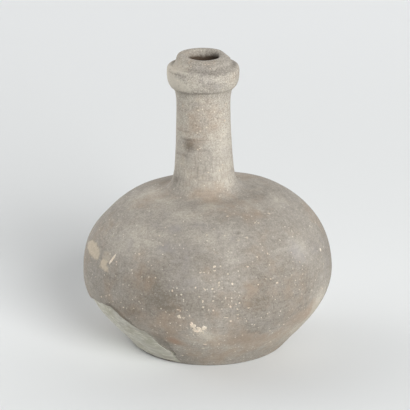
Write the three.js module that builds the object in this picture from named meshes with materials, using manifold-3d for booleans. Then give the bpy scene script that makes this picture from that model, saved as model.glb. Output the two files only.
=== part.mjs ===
// A narrow-necked bottle of unglazed grey-brown blackware, built from the pieces a potter
// joins: a thrown bowl, a domed shoulder luted on at the widest line, a thrown neck let into
// the shoulder, a coil smoothed round the neck's root and a collar wrapped under the lip.
// Lengths are millimetres, +Z is up, and the bottle stands on the plane z = 0.

import * as THREE from 'three';
import { mergeVertices } from 'three/addons/utils/BufferGeometryUtils.js';
import Module from 'manifold-3d';

const wasm = await Module();
wasm.setup();

// Driving sizes of the body
const BODY_RADIUS = 100;
const EQUATOR_HEIGHT = 59;
const BASE_RADIUS = 63;
const BASE_EDGE_ROUND = 2;
const BASE_WALL_REACH = 15;
const BASE_WALL_ANGLE = THREE.MathUtils.degToRad(60);
const BELLY_REACH = 24.5;
const SHOULDER_HEIGHT = 65.3;
const SHOULDER_SEAT_MARGIN = 3.2;
const BODY_WALL = 7;
const FLOOR_THICKNESS = 9;

// Driving sizes of the joints: dry pieces sit this far apart, with a layer of slip between
const CLEARANCE = 0.3;
const SLIP_THICKNESS = 1.2;
const SLIP_SETBACK = 0.8;
const LAP_HEIGHT = 7;

// Driving sizes of the neck and of the coil round its root
const NECK_LENGTH = 111;
const NECK_RADIUS = 21.1;
const NECK_WALL = 8.1;
const NECK_FOOT_SWELL = 0.9;
const NECK_TAPER_SHARE = 0.4;
const COIL_HEIGHT = 17;
const COIL_SPREAD = 8.5;
const COIL_WAIST = 2.8;
const COIL_WAIST_RISE = 5;
const COIL_EDGE = 1.2;
const COIL_SLIP_SPREAD = 1;

// Driving sizes of the lip and of the collar under it
const LIP_HEIGHT = 6.4;
const LIP_PROUD = 0.2;
const LIP_CREST_INSET = 3.5;
const LIP_CREST_WIDTH = 1;
const THROAT_DEPTH = 6;
const THROAT_ROUND = 1;
const COLLAR_SEAT_DEPTH = 2.5;
const COLLAR_HEIGHT = 24.6;
const COLLAR_PROUD = 7.1;
const COLLAR_FOOT_PROUD = 1.1;
const COLLAR_UNDERSIDE_REACH = 5;
const COLLAR_UNDERSIDE_ANGLE = THREE.MathUtils.degToRad(32);
const COLLAR_FACE_REACH = 9;
const COLLAR_WIDEST_RISE = 16.5;
const COLLAR_RIDGE_RISE = 21.4;
const COLLAR_RIDGE_INSET = 0.6;
const COLLAR_RIDGE_ROUND = 1.2;
const COLLAR_TOP_MARGIN = 0.7;

// Driving sizes of the old loss low on one side, and of the plaster fill set into it
const LOSS_AZIMUTH = THREE.MathUtils.degToRad(215);
const LOSS_WIDTH = 87;
const LOSS_OFFSET = -6;
const LOSS_BELOW_EQUATOR = 6.5;
const LOSS_ABOVE_BASE = 2.5;
const LOSS_DEPTH = 4;
const FILL_SINK = 1.6;

// How far the soft clay settled to one side before firing
const BODY_LEAN = THREE.MathUtils.degToRad(2.3);
const NECK_LEAN = THREE.MathUtils.degToRad(0.5);
const NECK_LEAN_BLEND = 20;

// Fineness of the meshes
const BODY_SEGMENTS = 64;
const NECK_SEGMENTS = 48;
const CURVE_STEPS = 12;
const SHORT_CURVE_STEPS = 6;

// Radii and heights that follow from the driving sizes
const SEAM = SLIP_THICKNESS + 2 * CLEARANCE;
const LAP_LIP = (BODY_WALL - SEAM) / 2;
const BORE_RADIUS = NECK_RADIUS - NECK_WALL;
const NECK_FOOT_RADIUS = NECK_RADIUS + NECK_FOOT_SWELL;
const SHOULDER_HOLE_RADIUS = NECK_FOOT_RADIUS + SEAM;
const COIL_TOP_RADIUS = NECK_FOOT_RADIUS + CLEARANCE + COIL_EDGE;
const COIL_SLIP_RADIUS = NECK_FOOT_RADIUS + COIL_SPREAD + COIL_SLIP_SPREAD;
const SHOULDER_SEAT_RADIUS = COIL_SLIP_RADIUS + SHOULDER_SEAT_MARGIN;
const COLLAR_SEAT_RADIUS = NECK_RADIUS - COLLAR_SEAT_DEPTH;
const COLLAR_RADIUS = NECK_RADIUS + COLLAR_PROUD;
const LIP_RADIUS = NECK_RADIUS + LIP_PROUD;
const SHOULDER_TOP = EQUATOR_HEIGHT + SHOULDER_HEIGHT;
const SHOULDER_UNDERSIDE = SHOULDER_TOP - BODY_WALL;
const COIL_TOP = SHOULDER_TOP + COIL_HEIGHT;
const CREST_HEIGHT = SHOULDER_TOP + NECK_LENGTH;
const LIP_BASE = CREST_HEIGHT - LIP_HEIGHT;
const COLLAR_STEP = LIP_BASE - COLLAR_HEIGHT;

// A point of an outline: distance from the bottle's axis, and height
function at(radius, height) {
  return new THREE.Vector2(radius, height);
}

// The outer wall from the foot up to the widest line, moved in or out by an offset
function lowerWall(offset) {
  const wall = new THREE.CubicBezierCurve(
    at(BASE_RADIUS, 0),
    at(
      BASE_RADIUS + BASE_WALL_REACH * Math.cos(BASE_WALL_ANGLE),
      BASE_WALL_REACH * Math.sin(BASE_WALL_ANGLE),
    ),
    at(BODY_RADIUS, EQUATOR_HEIGHT - BELLY_REACH),
    at(BODY_RADIUS, EQUATOR_HEIGHT),
  );
  const points = [];
  for (let step = 0; step <= CURVE_STEPS; step += 1) {
    const along = step / CURVE_STEPS;
    const tangent = wall.getTangent(along);
    const outward = at(tangent.y, -tangent.x);
    points.push(wall.getPoint(along).addScaledVector(outward, offset));
  }
  return points;
}

// The outer shoulder from a starting height up to its flat top, moved in or out by an offset
function shoulderWall(offset, startHeight) {
  const halfWidth = BODY_RADIUS - SHOULDER_SEAT_RADIUS + offset;
  const halfHeight = SHOULDER_HEIGHT + offset;
  const startAngle = Math.asin((startHeight - EQUATOR_HEIGHT) / halfHeight);
  const points = [];
  for (let step = 0; step <= CURVE_STEPS; step += 1) {
    const angle = THREE.MathUtils.lerp(startAngle, Math.PI / 2, step / CURVE_STEPS);
    points.push(at(
      SHOULDER_SEAT_RADIUS + halfWidth * Math.cos(angle),
      EQUATOR_HEIGHT + halfHeight * Math.sin(angle),
    ));
  }
  return points;
}

// Where a rising wall crosses a height
function crossing(points, height) {
  const upper = points.findIndex((point) => point.y > height);
  const below = points[upper - 1];
  const above = points[upper];
  const share = (height - below.y) / (above.y - below.y);
  return below.clone().lerp(above, share);
}

// The part of a rising wall between two heights, cut off square at both
function between(points, low, high) {
  const inside = points.filter((point) => point.y > low && point.y < high);
  return [crossing(points, low), ...inside, crossing(points, high)];
}

// A solid of revolution about +Z from a closed outline
function turned(outline, segments) {
  const points = THREE.ShapeUtils.area(outline) > 0 ? outline : [...outline].reverse();
  const onAxis = points[0].x === 0;
  const profile = onAxis ? points : [...points, points[0]];
  const geometry = new THREE.LatheGeometry(profile, segments);
  geometry.rotateX(Math.PI / 2);
  return weld(geometry);
}

// Merge shared vertices and drop the triangles that collapse at the axis
function weld(source) {
  const bare = source.clone();
  bare.deleteAttribute('normal');
  bare.deleteAttribute('uv');
  const merged = mergeVertices(bare, 1e-4);
  const kept = [];
  for (let i = 0; i < merged.index.count; i += 3) {
    const a = merged.index.getX(i);
    const b = merged.index.getX(i + 1);
    const c = merged.index.getX(i + 2);
    if (a !== b && b !== c && c !== a) {
      kept.push(a, b, c);
    }
  }
  merged.setIndex(kept);
  return merged;
}

// A welded geometry as a solid that can be cut and joined
function solid(geometry) {
  return new wasm.Manifold(new wasm.Mesh({
    numProp: 3,
    vertProperties: new Float32Array(geometry.attributes.position.array),
    triVerts: new Uint32Array(geometry.index.array),
  }));
}

// A cut or joined solid as a geometry again
function geometryOf(body) {
  const mesh = body.getMesh();
  const geometry = new THREE.BufferGeometry();
  const positions = new Float32Array(mesh.vertProperties);
  geometry.setAttribute('position', new THREE.BufferAttribute(positions, 3));
  geometry.setIndex(Array.from(mesh.triVerts));
  return geometry;
}

// The lean at a height: none at the foot, full from the widest line, less up the neck
function leanAt(height) {
  const rising = BODY_LEAN * THREE.MathUtils.clamp(height / EQUATOR_HEIGHT, 0, 1);
  const blend = (height - SHOULDER_UNDERSIDE) / NECK_LEAN_BLEND;
  return rising + (NECK_LEAN - BODY_LEAN) * THREE.MathUtils.clamp(blend, 0, 1);
}

// How far the axis has moved sideways at a height, measured from the widest line
function driftAt(height) {
  const steps = 64;
  const rise = (height - EQUATOR_HEIGHT) / steps;
  let drift = 0;
  for (let step = 0; step < steps; step += 1) {
    drift -= Math.tan(leanAt(EQUATOR_HEIGHT + (step + 0.5) * rise)) * rise;
  }
  return drift;
}

// Carry a straight, upright geometry over to the leaning axis
function settle(geometry) {
  const position = geometry.attributes.position;
  for (let i = 0; i < position.count; i += 1) {
    const across = position.getX(i);
    const height = position.getZ(i);
    const lean = leanAt(height);
    position.setX(i, driftAt(height) + across * Math.cos(lean));
    position.setZ(i, height + across * Math.sin(lean));
  }
  geometry.computeVertexNormals();
  return geometry;
}

// The outline of the loss seen square on: shares of its width and height, going round
function lossOutline(inset) {
  const low = LOSS_ABOVE_BASE;
  const height = EQUATOR_HEIGHT - LOSS_BELOW_EQUATOR - low;
  const shares = [
    [0.47, 0.04], [0.5, 0.16], [0.47, 0.27], [0.47, 0.62], [0.4, 0.78], [0.29, 0.86],
    [0.2, 0.94], [0.07, 1], [-0.14, 0.93], [-0.33, 0.85], [-0.48, 0.7], [-0.5, 0.5],
    [-0.42, 0.31], [-0.29, 0.11], [-0.15, 0], [0.32, 0],
  ];
  const loop = shares.map(([across, up]) => at(LOSS_OFFSET + across * LOSS_WIDTH, low + up * height));
  return loop.map((corner, i) => {
    const before = loop[(i + loop.length - 1) % loop.length];
    const after = loop[(i + 1) % loop.length];
    const arriving = corner.clone().sub(before).normalize();
    const leaving = after.clone().sub(corner).normalize();
    const bisector = arriving.clone().add(leaving).normalize();
    const inward = at(-bisector.y, bisector.x);
    const mitre = inset / Math.sqrt((1 + arriving.dot(leaving)) / 2);
    return corner.clone().addScaledVector(inward, mitre);
  });
}

// A block with the loss's outline, reaching from the axis to well outside the wall
function lossBlock(inset) {
  const shape = new THREE.Shape(lossOutline(inset));
  const reach = 2 * BODY_RADIUS;
  const block = new THREE.ExtrudeGeometry(shape, { depth: reach, bevelEnabled: false });
  const outward = new THREE.Vector3(Math.cos(LOSS_AZIMUTH), Math.sin(LOSS_AZIMUTH), 0);
  const up = new THREE.Vector3(0, 0, 1);
  const across = new THREE.Vector3().crossVectors(up, outward);
  block.applyMatrix4(new THREE.Matrix4().makeBasis(across, up, outward));
  return solid(weld(block));
}

// A band that follows the lower wall between two depths under its face
function wallBand(outerOffset, innerOffset) {
  const outer = lowerWall(outerOffset);
  const inner = lowerWall(innerOffset);
  return solid(turned([...outer, ...inner.reverse()], BODY_SEGMENTS));
}

// The thrown bowl: floor, wall and a tongue that stands up inside the shoulder's edge
function lowerBody() {
  const ledge = EQUATOR_HEIGHT - SEAM / 2;
  const outer = between(lowerWall(0), BASE_EDGE_ROUND, ledge);
  const inner = between(lowerWall(-BODY_WALL), FLOOR_THICKNESS, ledge);
  const outline = [
    at(0, 0),
    at(BASE_RADIUS - BASE_EDGE_ROUND, 0),
    ...outer,
    at(BODY_RADIUS - LAP_LIP - SEAM, ledge),
    at(BODY_RADIUS - LAP_LIP - SEAM, ledge + LAP_HEIGHT),
    at(BODY_RADIUS - BODY_WALL, ledge + LAP_HEIGHT),
    ...inner.reverse(),
    at(0, FLOOR_THICKNESS),
  ];
  const pocket = lossBlock(0).intersect(wallBand(BODY_WALL, -LOSS_DEPTH));
  return geometryOf(solid(turned(outline, BODY_SEGMENTS)).subtract(pocket));
}

// The conservator's fill: it lies a little below the old surface, inside the loss
function restorationFill() {
  const layer = wallBand(-FILL_SINK, -LOSS_DEPTH + CLEARANCE);
  return geometryOf(lossBlock(CLEARANCE).intersect(layer));
}

// The domed shoulder: its lower edge laps outside the bowl's tongue
function upperBody() {
  const edge = EQUATOR_HEIGHT + SEAM / 2;
  const inner = shoulderWall(-BODY_WALL, edge + LAP_HEIGHT);
  return turned([
    ...shoulderWall(0, edge),
    at(SHOULDER_HOLE_RADIUS, SHOULDER_TOP),
    at(SHOULDER_HOLE_RADIUS, SHOULDER_UNDERSIDE),
    ...inner.reverse(),
    at(BODY_RADIUS - LAP_LIP, edge + LAP_HEIGHT),
    at(BODY_RADIUS - LAP_LIP, edge),
  ], BODY_SEGMENTS);
}

// Slip in the lap joint at the widest line: along the ledge, up the tongue and over it
function equatorSlip() {
  const low = EQUATOR_HEIGHT - SLIP_THICKNESS / 2;
  const high = EQUATOR_HEIGHT + SLIP_THICKNESS / 2;
  const tongueFace = BODY_RADIUS - LAP_LIP - SEAM + CLEARANCE;
  const edgeFace = tongueFace + SLIP_THICKNESS;
  const inside = BODY_RADIUS - BODY_WALL + SLIP_SETBACK;
  return turned([
    at(tongueFace, low),
    at(BODY_RADIUS - SLIP_SETBACK, low),
    at(BODY_RADIUS - SLIP_SETBACK, high),
    at(edgeFace, high),
    at(edgeFace, high + LAP_HEIGHT),
    at(inside, high + LAP_HEIGHT),
    at(inside, low + LAP_HEIGHT),
    at(tongueFace, low + LAP_HEIGHT),
  ], BODY_SEGMENTS);
}

// The neck: a tube whose foot stands in the shoulder's hole and whose top is the lip
function neck() {
  const shaft = new THREE.QuadraticBezierCurve(
    at(COIL_TOP_RADIUS, COIL_TOP + CLEARANCE),
    at(NECK_RADIUS, THREE.MathUtils.lerp(COIL_TOP, COLLAR_STEP, NECK_TAPER_SHARE)),
    at(NECK_RADIUS, COLLAR_STEP),
  );
  const crestEdge = LIP_RADIUS - LIP_CREST_INSET;
  const crest = new THREE.QuadraticBezierCurve(
    at(LIP_RADIUS, LIP_BASE),
    at(LIP_RADIUS - LIP_CREST_WIDTH, CREST_HEIGHT),
    at(crestEdge, CREST_HEIGHT),
  );
  const throat = new THREE.QuadraticBezierCurve(
    at(crestEdge - LIP_CREST_WIDTH, CREST_HEIGHT),
    at(BORE_RADIUS, CREST_HEIGHT - THROAT_ROUND),
    at(BORE_RADIUS, CREST_HEIGHT - THROAT_DEPTH),
  );
  return turned([
    at(BORE_RADIUS, SHOULDER_UNDERSIDE),
    at(NECK_FOOT_RADIUS, SHOULDER_UNDERSIDE),
    at(NECK_FOOT_RADIUS, COIL_TOP + CLEARANCE),
    ...shaft.getPoints(SHORT_CURVE_STEPS),
    at(COLLAR_SEAT_RADIUS, COLLAR_STEP),
    at(COLLAR_SEAT_RADIUS, LIP_BASE),
    ...crest.getPoints(SHORT_CURVE_STEPS),
    ...throat.getPoints(SHORT_CURVE_STEPS),
  ], NECK_SEGMENTS);
}

// The coil smoothed into the angle between shoulder and neck
function neckRootCoil() {
  const seat = NECK_FOOT_RADIUS + CLEARANCE;
  const sweep = new THREE.QuadraticBezierCurve(
    at(NECK_FOOT_RADIUS + COIL_SPREAD, SHOULDER_TOP + SEAM),
    at(NECK_FOOT_RADIUS + COIL_WAIST, SHOULDER_TOP + COIL_WAIST_RISE),
    at(COIL_TOP_RADIUS, COIL_TOP),
  );
  return turned([
    at(seat, SHOULDER_TOP + SEAM),
    ...sweep.getPoints(SHORT_CURVE_STEPS),
    at(seat, COIL_TOP),
  ], NECK_SEGMENTS);
}

// Slip round the neck's foot in the shoulder's hole, and under the coil
function neckSlip() {
  const innerFace = NECK_FOOT_RADIUS + CLEARANCE;
  const outerFace = innerFace + SLIP_THICKNESS;
  const low = SHOULDER_TOP + CLEARANCE;
  return turned([
    at(innerFace, SHOULDER_UNDERSIDE + SLIP_SETBACK),
    at(outerFace, SHOULDER_UNDERSIDE + SLIP_SETBACK),
    at(outerFace, low),
    at(COIL_SLIP_RADIUS, low),
    at(COIL_SLIP_RADIUS - SLIP_THICKNESS, low + SLIP_THICKNESS),
    at(innerFace, low + SLIP_THICKNESS),
  ], NECK_SEGMENTS);
}

// The collar: a strap wrapped round the neck under the lip, with a soft ridge near its top
function mouthCollar() {
  const seat = COLLAR_SEAT_RADIUS + SEAM;
  const foot = at(NECK_RADIUS + COLLAR_FOOT_PROUD, COLLAR_STEP + SEAM);
  const underside = at(Math.cos(COLLAR_UNDERSIDE_ANGLE), Math.sin(COLLAR_UNDERSIDE_ANGLE));
  const widest = at(COLLAR_RADIUS, COLLAR_STEP + COLLAR_WIDEST_RISE);
  const face = new THREE.CubicBezierCurve(
    foot,
    foot.clone().addScaledVector(underside, COLLAR_UNDERSIDE_REACH),
    at(widest.x, widest.y - COLLAR_FACE_REACH),
    widest,
  );
  const ridge = at(COLLAR_RADIUS - COLLAR_RIDGE_INSET, COLLAR_STEP + COLLAR_RIDGE_RISE);
  return turned([
    at(seat, foot.y),
    ...face.getPoints(SHORT_CURVE_STEPS),
    at(ridge.x, ridge.y - COLLAR_RIDGE_ROUND),
    at(ridge.x - COLLAR_RIDGE_ROUND, ridge.y),
    at(LIP_RADIUS + COLLAR_TOP_MARGIN, LIP_BASE - CLEARANCE),
    at(seat, LIP_BASE - CLEARANCE),
  ], NECK_SEGMENTS);
}

// Slip between the neck and the collar
function collarSlip() {
  const innerFace = COLLAR_SEAT_RADIUS + CLEARANCE;
  const outerFace = innerFace + SLIP_THICKNESS;
  const low = COLLAR_STEP + CLEARANCE;
  return turned([
    at(innerFace, low),
    at(NECK_RADIUS - SLIP_SETBACK, low),
    at(NECK_RADIUS - SLIP_SETBACK, low + SLIP_THICKNESS),
    at(outerFace, low + SLIP_THICKNESS),
    at(outerFace, LIP_BASE - CLEARANCE),
    at(innerFace, LIP_BASE - CLEARANCE),
  ], NECK_SEGMENTS);
}

// Fired clay, its slip and the plaster of the fill
const blackware = { color: '#948b81', roughness: 0.92, metalness: 0 };
const paleBlackware = { color: '#a29a8f', roughness: 0.92, metalness: 0 };
const driedSlip = { color: '#857b70', roughness: 0.95, metalness: 0 };
const fillPlaster = { color: '#b1b0a6', roughness: 0.85, metalness: 0 };

// A named piece, carried over to the leaning axis
function piece(name, geometry, finish) {
  const mesh = new THREE.Mesh(settle(geometry), new THREE.MeshStandardMaterial(finish));
  mesh.name = name;
  return mesh;
}

const bottle = new THREE.Group();
bottle.name = 'blackware_bottle';
bottle.add(
  piece('lower_body', lowerBody(), blackware),
  piece('equator_slip_lute', equatorSlip(), driedSlip),
  piece('upper_body', upperBody(), blackware),
  piece('neck_slip_lute', neckSlip(), driedSlip),
  piece('neck_root_coil', neckRootCoil(), blackware),
  piece('neck', neck(), paleBlackware),
  piece('collar_slip_lute', collarSlip(), driedSlip),
  piece('mouth_collar', mouthCollar(), paleBlackware),
  piece('restoration_fill', restorationFill(), fillPlaster),
);

export default bottle;
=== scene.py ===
# %% [markdown]
# # A bottle of unglazed blackware
# The bottle is a thrown bowl with a domed shoulder, a straight neck and a thick collar under
# its lip, fired grey-brown in a smoky kiln and never glazed. This lesson dresses its solid
# model: each piece is thrown again on Blender's Screw modifier with a fine surface, the soft
# clay's lean and knocks are given to all of them at once, and one clay material runs over the
# lot. The solid model is loaded first, as the frame that every piece has to fit.

# %% Load the frame
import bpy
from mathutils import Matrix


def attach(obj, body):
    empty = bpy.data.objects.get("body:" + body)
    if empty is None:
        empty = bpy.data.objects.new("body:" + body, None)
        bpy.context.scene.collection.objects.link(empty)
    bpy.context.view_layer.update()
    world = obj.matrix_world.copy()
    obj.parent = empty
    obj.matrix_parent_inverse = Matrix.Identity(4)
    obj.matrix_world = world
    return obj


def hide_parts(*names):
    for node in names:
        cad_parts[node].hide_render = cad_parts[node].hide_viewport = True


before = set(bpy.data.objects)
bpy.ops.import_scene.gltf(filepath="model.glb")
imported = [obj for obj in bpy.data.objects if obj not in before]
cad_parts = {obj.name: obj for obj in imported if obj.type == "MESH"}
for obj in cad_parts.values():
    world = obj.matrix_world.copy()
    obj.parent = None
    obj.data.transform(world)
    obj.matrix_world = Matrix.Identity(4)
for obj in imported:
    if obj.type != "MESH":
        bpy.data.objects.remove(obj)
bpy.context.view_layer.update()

# %% [markdown]
# Lengths are written in millimetres, as on a potter's sheet, and turned to metres where a
# point is made. Angles round the bottle are azimuths in degrees: 0 points along +X, and 270
# points at the camera. Noise vectors start from the clock unless a seed is set, so one is set
# here, and the bottle comes out the same each time.

# %% Units
import math
import random
from types import SimpleNamespace

import bpy
import numpy as np
from mathutils import Matrix, Vector, noise

MM = 0.001
UP = Vector((0, 0, 1))
NOISE_SEED = 2
noise.seed_set(NOISE_SEED)


def deselect():
    """Leave edit mode and select nothing, so that the next operator acts on one piece."""
    if bpy.context.mode != "OBJECT":
        bpy.ops.object.mode_set(mode="OBJECT")
    bpy.ops.object.select_all(action="DESELECT")


# %% [markdown]
# ## The camera
# The picture was taken from a little above, with a long lens, so that the bottle hardly
# tapers. The lens follows from the focal length counted in pixels of a frame 410 wide, which
# is how a perspective fit gives it, and the camera stands where that fit puts it.

# %% Camera
FRAME_PIXELS = 410
FOCAL_PIXELS = 1800
SENSOR_WIDTH = 36
CAMERA_PITCH = math.radians(19.4)
CAMERA_DISTANCE = 1429.4 * MM
LOOK_AT = Vector((-2.15, 0, 111.17)) * MM

bpy.ops.object.camera_add()
camera = bpy.context.object
camera.name = "camera"
camera.data.sensor_width = SENSOR_WIDTH
camera.data.lens = SENSOR_WIDTH * FOCAL_PIXELS / FRAME_PIXELS
back = Vector((0, -math.cos(CAMERA_PITCH), math.sin(CAMERA_PITCH)))
camera.location = LOOK_AT + CAMERA_DISTANCE * back
camera.rotation_euler = (math.pi / 2 - CAMERA_PITCH, 0, 0)
bpy.context.scene.camera = camera
print("lens in millimetres:", round(camera.data.lens, 1))

# %% [markdown]
# ## The outlines
# A thrown pot is known from its outline alone. The sizes are the driving sizes that the solid
# model is built from, in millimetres, and heights count from the floor. The round stretches
# are Bezier curves and one ellipse, sampled finely where they show and coarsely inside.

# %% Sizes of the body
BODY_RADIUS = 100
BODY_WALL = 7
EQUATOR = 59  # height of the widest line
BASE_RADIUS = 63
BASE_RISE = 15  # how far the foot's slope steers the wall
BASE_SLOPE = math.radians(60)
WAIST_PULL = 24.5  # how far the upright wall of the widest line steers it
SHOULDER_HEIGHT = 65.3
SHOULDER_SEAT = 34.7  # radius where the shoulder's arc is level
SHOULDER_TOP = EQUATOR + SHOULDER_HEIGHT
FINE = 1.0  # between points that show
COARSE = 5.0  # between points inside


# %% Curves for outlines
def bezier(corners, step):
    """Points (radius, height) about a step apart along a Bezier curve of any degree."""
    corners = np.array(corners, float)
    degree = len(corners) - 1
    count = max(2, round(np.linalg.norm(np.diff(corners, axis=0), axis=1).sum() / step))
    along = np.linspace(0, 1, count + 1)[:, None]
    total = 0
    for i, corner in enumerate(corners):
        weight = math.comb(degree, i) * along**i * (1 - along) ** (degree - i)
        total = total + weight * corner
    return [tuple(point) for point in total]


def lower_wall(offset, step, foot_offset=None):
    """The outer wall from the foot to the widest line, moved in or out along its normal.

    With an offset of its own at the foot, the move changes evenly with height.
    """
    foot = (BASE_RADIUS, 0)
    above_foot = (
        BASE_RADIUS + BASE_RISE * math.cos(BASE_SLOPE),
        BASE_RISE * math.sin(BASE_SLOPE),
    )
    below_widest = (BODY_RADIUS, EQUATOR - WAIST_PULL)
    widest = (BODY_RADIUS, EQUATOR)
    wall = np.array(bezier([foot, above_foot, below_widest, widest], step))
    tangent = np.gradient(wall, axis=0)
    tangent[-1] = (0, 1)
    tangent /= np.linalg.norm(tangent, axis=1)[:, None]
    outward = np.stack([tangent[:, 1], -tangent[:, 0]], axis=1)
    if foot_offset is not None:
        offset = np.interp(wall[:, 1], [0, EQUATOR], [foot_offset, offset])[:, None]
    return [tuple(point) for point in wall + offset * outward]


def shoulder_wall(offset, start, end_radius, step):
    """The shoulder's arc from a starting height in to a radius, moved in or out."""
    half_width = BODY_RADIUS - SHOULDER_SEAT + offset
    half_height = SHOULDER_HEIGHT + offset
    first = math.asin((start - EQUATOR) / half_height)
    last = math.acos((end_radius - SHOULDER_SEAT) / half_width)
    count = max(4, round((last - first) * half_height / step))
    angles = [first + (last - first) * i / count for i in range(count + 1)]
    return [
        (SHOULDER_SEAT + half_width * math.cos(a), EQUATOR + half_height * math.sin(a))
        for a in angles
    ]


def above(points, height):
    """The part of a rising outline that is above a height, starting exactly there."""
    kept = [point for point in points if point[1] > height]
    low = points[len(points) - len(kept) - 1]
    share = (height - low[1]) / (kept[0][1] - low[1])
    return [(low[0] + share * (kept[0][0] - low[0]), height)] + kept


def line(start, end, step):
    """Points along a straight stretch, without its last point."""
    count = max(1, round(math.dist(start, end) / step))
    return [
        (start[0] + (end[0] - start[0]) * i / count, start[1] + (end[1] - start[1]) * i / count)
        for i in range(count)
    ]


# %% [markdown]
# ## Throwing on the Screw modifier
# The Screw modifier without any pitch is a potter's wheel: it turns an outline about an axis.
# The outline is drawn as a chain of edges by extruding one vertex again and again, and turned
# once right round. Merging doubles then closes the seam where the turn ends, and the pole on
# the axis.


# %% The wheel
def thrown(name, outline, turns):
    """A closed solid of revolution from a closed outline of (radius, height) points."""
    deselect()
    bpy.ops.mesh.primitive_plane_add(size=MM)
    piece = bpy.context.object
    piece.name = piece.data.name = name
    bpy.ops.object.mode_set(mode="EDIT")
    bpy.ops.mesh.select_all(action="SELECT")
    bpy.ops.mesh.merge(type="CENTER")
    stations = [Vector((radius, 0, height)) * MM for radius, height in outline]
    if outline[0][0] > 0:
        stations.append(stations[0])
    bpy.ops.transform.translate(value=stations[0])
    for here, there in zip(stations, stations[1:]):
        move = {"value": there - here}
        bpy.ops.mesh.extrude_region_move(TRANSFORM_OT_translate=move)
    bpy.ops.object.mode_set(mode="OBJECT")
    wheel = piece.modifiers.new("wheel", "SCREW")
    wheel.steps = turns
    bpy.ops.object.modifier_apply(modifier=wheel.name)
    bpy.ops.object.mode_set(mode="EDIT")
    bpy.ops.mesh.select_all(action="SELECT")
    bpy.ops.mesh.remove_doubles(threshold=MM / 1000)
    bpy.ops.mesh.normals_make_consistent(inside=False)
    bpy.ops.object.mode_set(mode="OBJECT")
    print(name, "has", len(piece.data.polygons), "faces")
    return piece


BODY_TURNS = 512
NECK_TURNS = 224

# %% [markdown]
# ## The five thrown pieces
# The bottle was thrown in parts and luted together with slip. Neighbours touch over a hair's
# width at the skin, and leave room for the slip inside.
#
# ### Lower body
# The lower half is a bowl on a flat foot. Its rim ends in a tongue, so that the shoulder can
# be set over it. It could be a ball, cut off and hollowed with Solidify, but one outline that
# goes up the outside and back down the inside gives wall, floor and tongue at once.

# %% Lower body
BASE_EDGE = 2  # height of the foot's rounded edge
FLOOR = 9
SEAM = 1.8  # room for the slip
LAP = 7  # height of the tongue
SKIN = 0.5  # width of the contact at the skin
ledge = EQUATOR - SEAM / 2
lip = (BODY_WALL - SEAM) / 2
tongue = BODY_RADIUS - lip - SEAM
foot_edge = bezier(
    [(BASE_RADIUS - BASE_EDGE, 0), (BASE_RADIUS + 0.2, 0), (BASE_RADIUS + 0.9, BASE_EDGE)], FINE
)
floor_cove = bezier(
    [(BASE_RADIUS + 3, FLOOR + 2.2), (BASE_RADIUS - 1, FLOOR), (BASE_RADIUS - 6, FLOOR)], COARSE / 3
)
lower_outline = (
    line((0, 0), (BASE_RADIUS - BASE_EDGE, 0), COARSE)
    + foot_edge
    + above(lower_wall(0, FINE), BASE_EDGE + 0.6)
    + [(BODY_RADIUS - SKIN, EQUATOR), (BODY_RADIUS - SKIN, ledge)]
    + [(tongue, ledge), (tongue, ledge + LAP), (BODY_RADIUS - BODY_WALL, ledge + LAP)]
    + above(lower_wall(-BODY_WALL, COARSE), FLOOR + 4)[::-1]
    + floor_cove
    + line((BASE_RADIUS - 11, FLOOR), (0, FLOOR), COARSE)
    + [(0, FLOOR)]
)
lower_body = thrown("lower_body_clay", lower_outline, BODY_TURNS)

# %% [markdown]
# ### Upper body
# The shoulder is a second bowl, thrown upside down, with a hole for the neck. Its outside is
# an arc of an ellipse, which stays smooth where a few straight cuts would show, and its rim
# is cut back inside, to lie over the tongue.

# %% Upper body
NECK_FOOT = 22  # radius of the neck's foot, in the hole
edge = EQUATOR + SEAM / 2
under = SHOULDER_TOP - BODY_WALL
hole = NECK_FOOT + SEAM
inner_dome = shoulder_wall(-BODY_WALL, edge + LAP, SHOULDER_SEAT, COARSE)
upper_outline = (
    shoulder_wall(0, EQUATOR, SHOULDER_SEAT, FINE)
    + [(hole, SHOULDER_TOP), (hole, under)]
    + inner_dome[::-1]
    + [(BODY_RADIUS - lip, edge + LAP), (BODY_RADIUS - lip, edge)]
    + [(BODY_RADIUS - SKIN, edge), (BODY_RADIUS - SKIN, EQUATOR)]
)
upper_body = thrown("upper_body_clay", upper_outline, BODY_TURNS)

# %% [markdown]
# ### Neck root coil
# A thin roll of clay is pressed into the angle between shoulder and neck and smoothed with a
# finger, until it fades out on the shoulder. A bevel would round that angle with the same
# width on both sides. The real sweep is longer on the shoulder, so it is a Bezier curve.

# %% Neck root coil
ROOT_RADIUS = 38.5
COIL_TOP_RADIUS = 23.6
COIL_HEIGHT = 17
COIL_TOP = SHOULDER_TOP + COIL_HEIGHT
FEATHER = 0.04  # how deep the coil's edge sinks into the shoulder
ROOM = 0.3  # between the coil and the neck
TOUCH = 0.06  # the coil's underside lies this much over the shoulder, and further out in it
root_height = shoulder_wall(-FEATHER, EQUATOR, ROOT_RADIUS, FINE)[-1][1]
root_sweep = bezier(
    [
        (ROOT_RADIUS, root_height),
        (30.5, SHOULDER_TOP + 0.3),
        (25.8, SHOULDER_TOP + 3.2),
        (COIL_TOP_RADIUS, COIL_TOP),
    ],
    FINE * 0.7,
)
coil_outline = root_sweep + [
    (NECK_FOOT + ROOM, COIL_TOP),
    (NECK_FOOT + ROOM, SHOULDER_TOP + TOUCH),
    (28, SHOULDER_TOP + TOUCH),
    (33, SHOULDER_TOP - TOUCH),
]
root_coil = thrown("neck_root_coil_clay", coil_outline, NECK_TURNS)

# %% [markdown]
# ### Neck and lip
# The neck is a tube that narrows a little above the coil and flares under the collar. Its top
# is the lip, rolled in to the bore. A cylinder with loops scaled by hand could do it, but in
# an outline the step that the collar sits on and the curve of the throat are exact.

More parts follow.
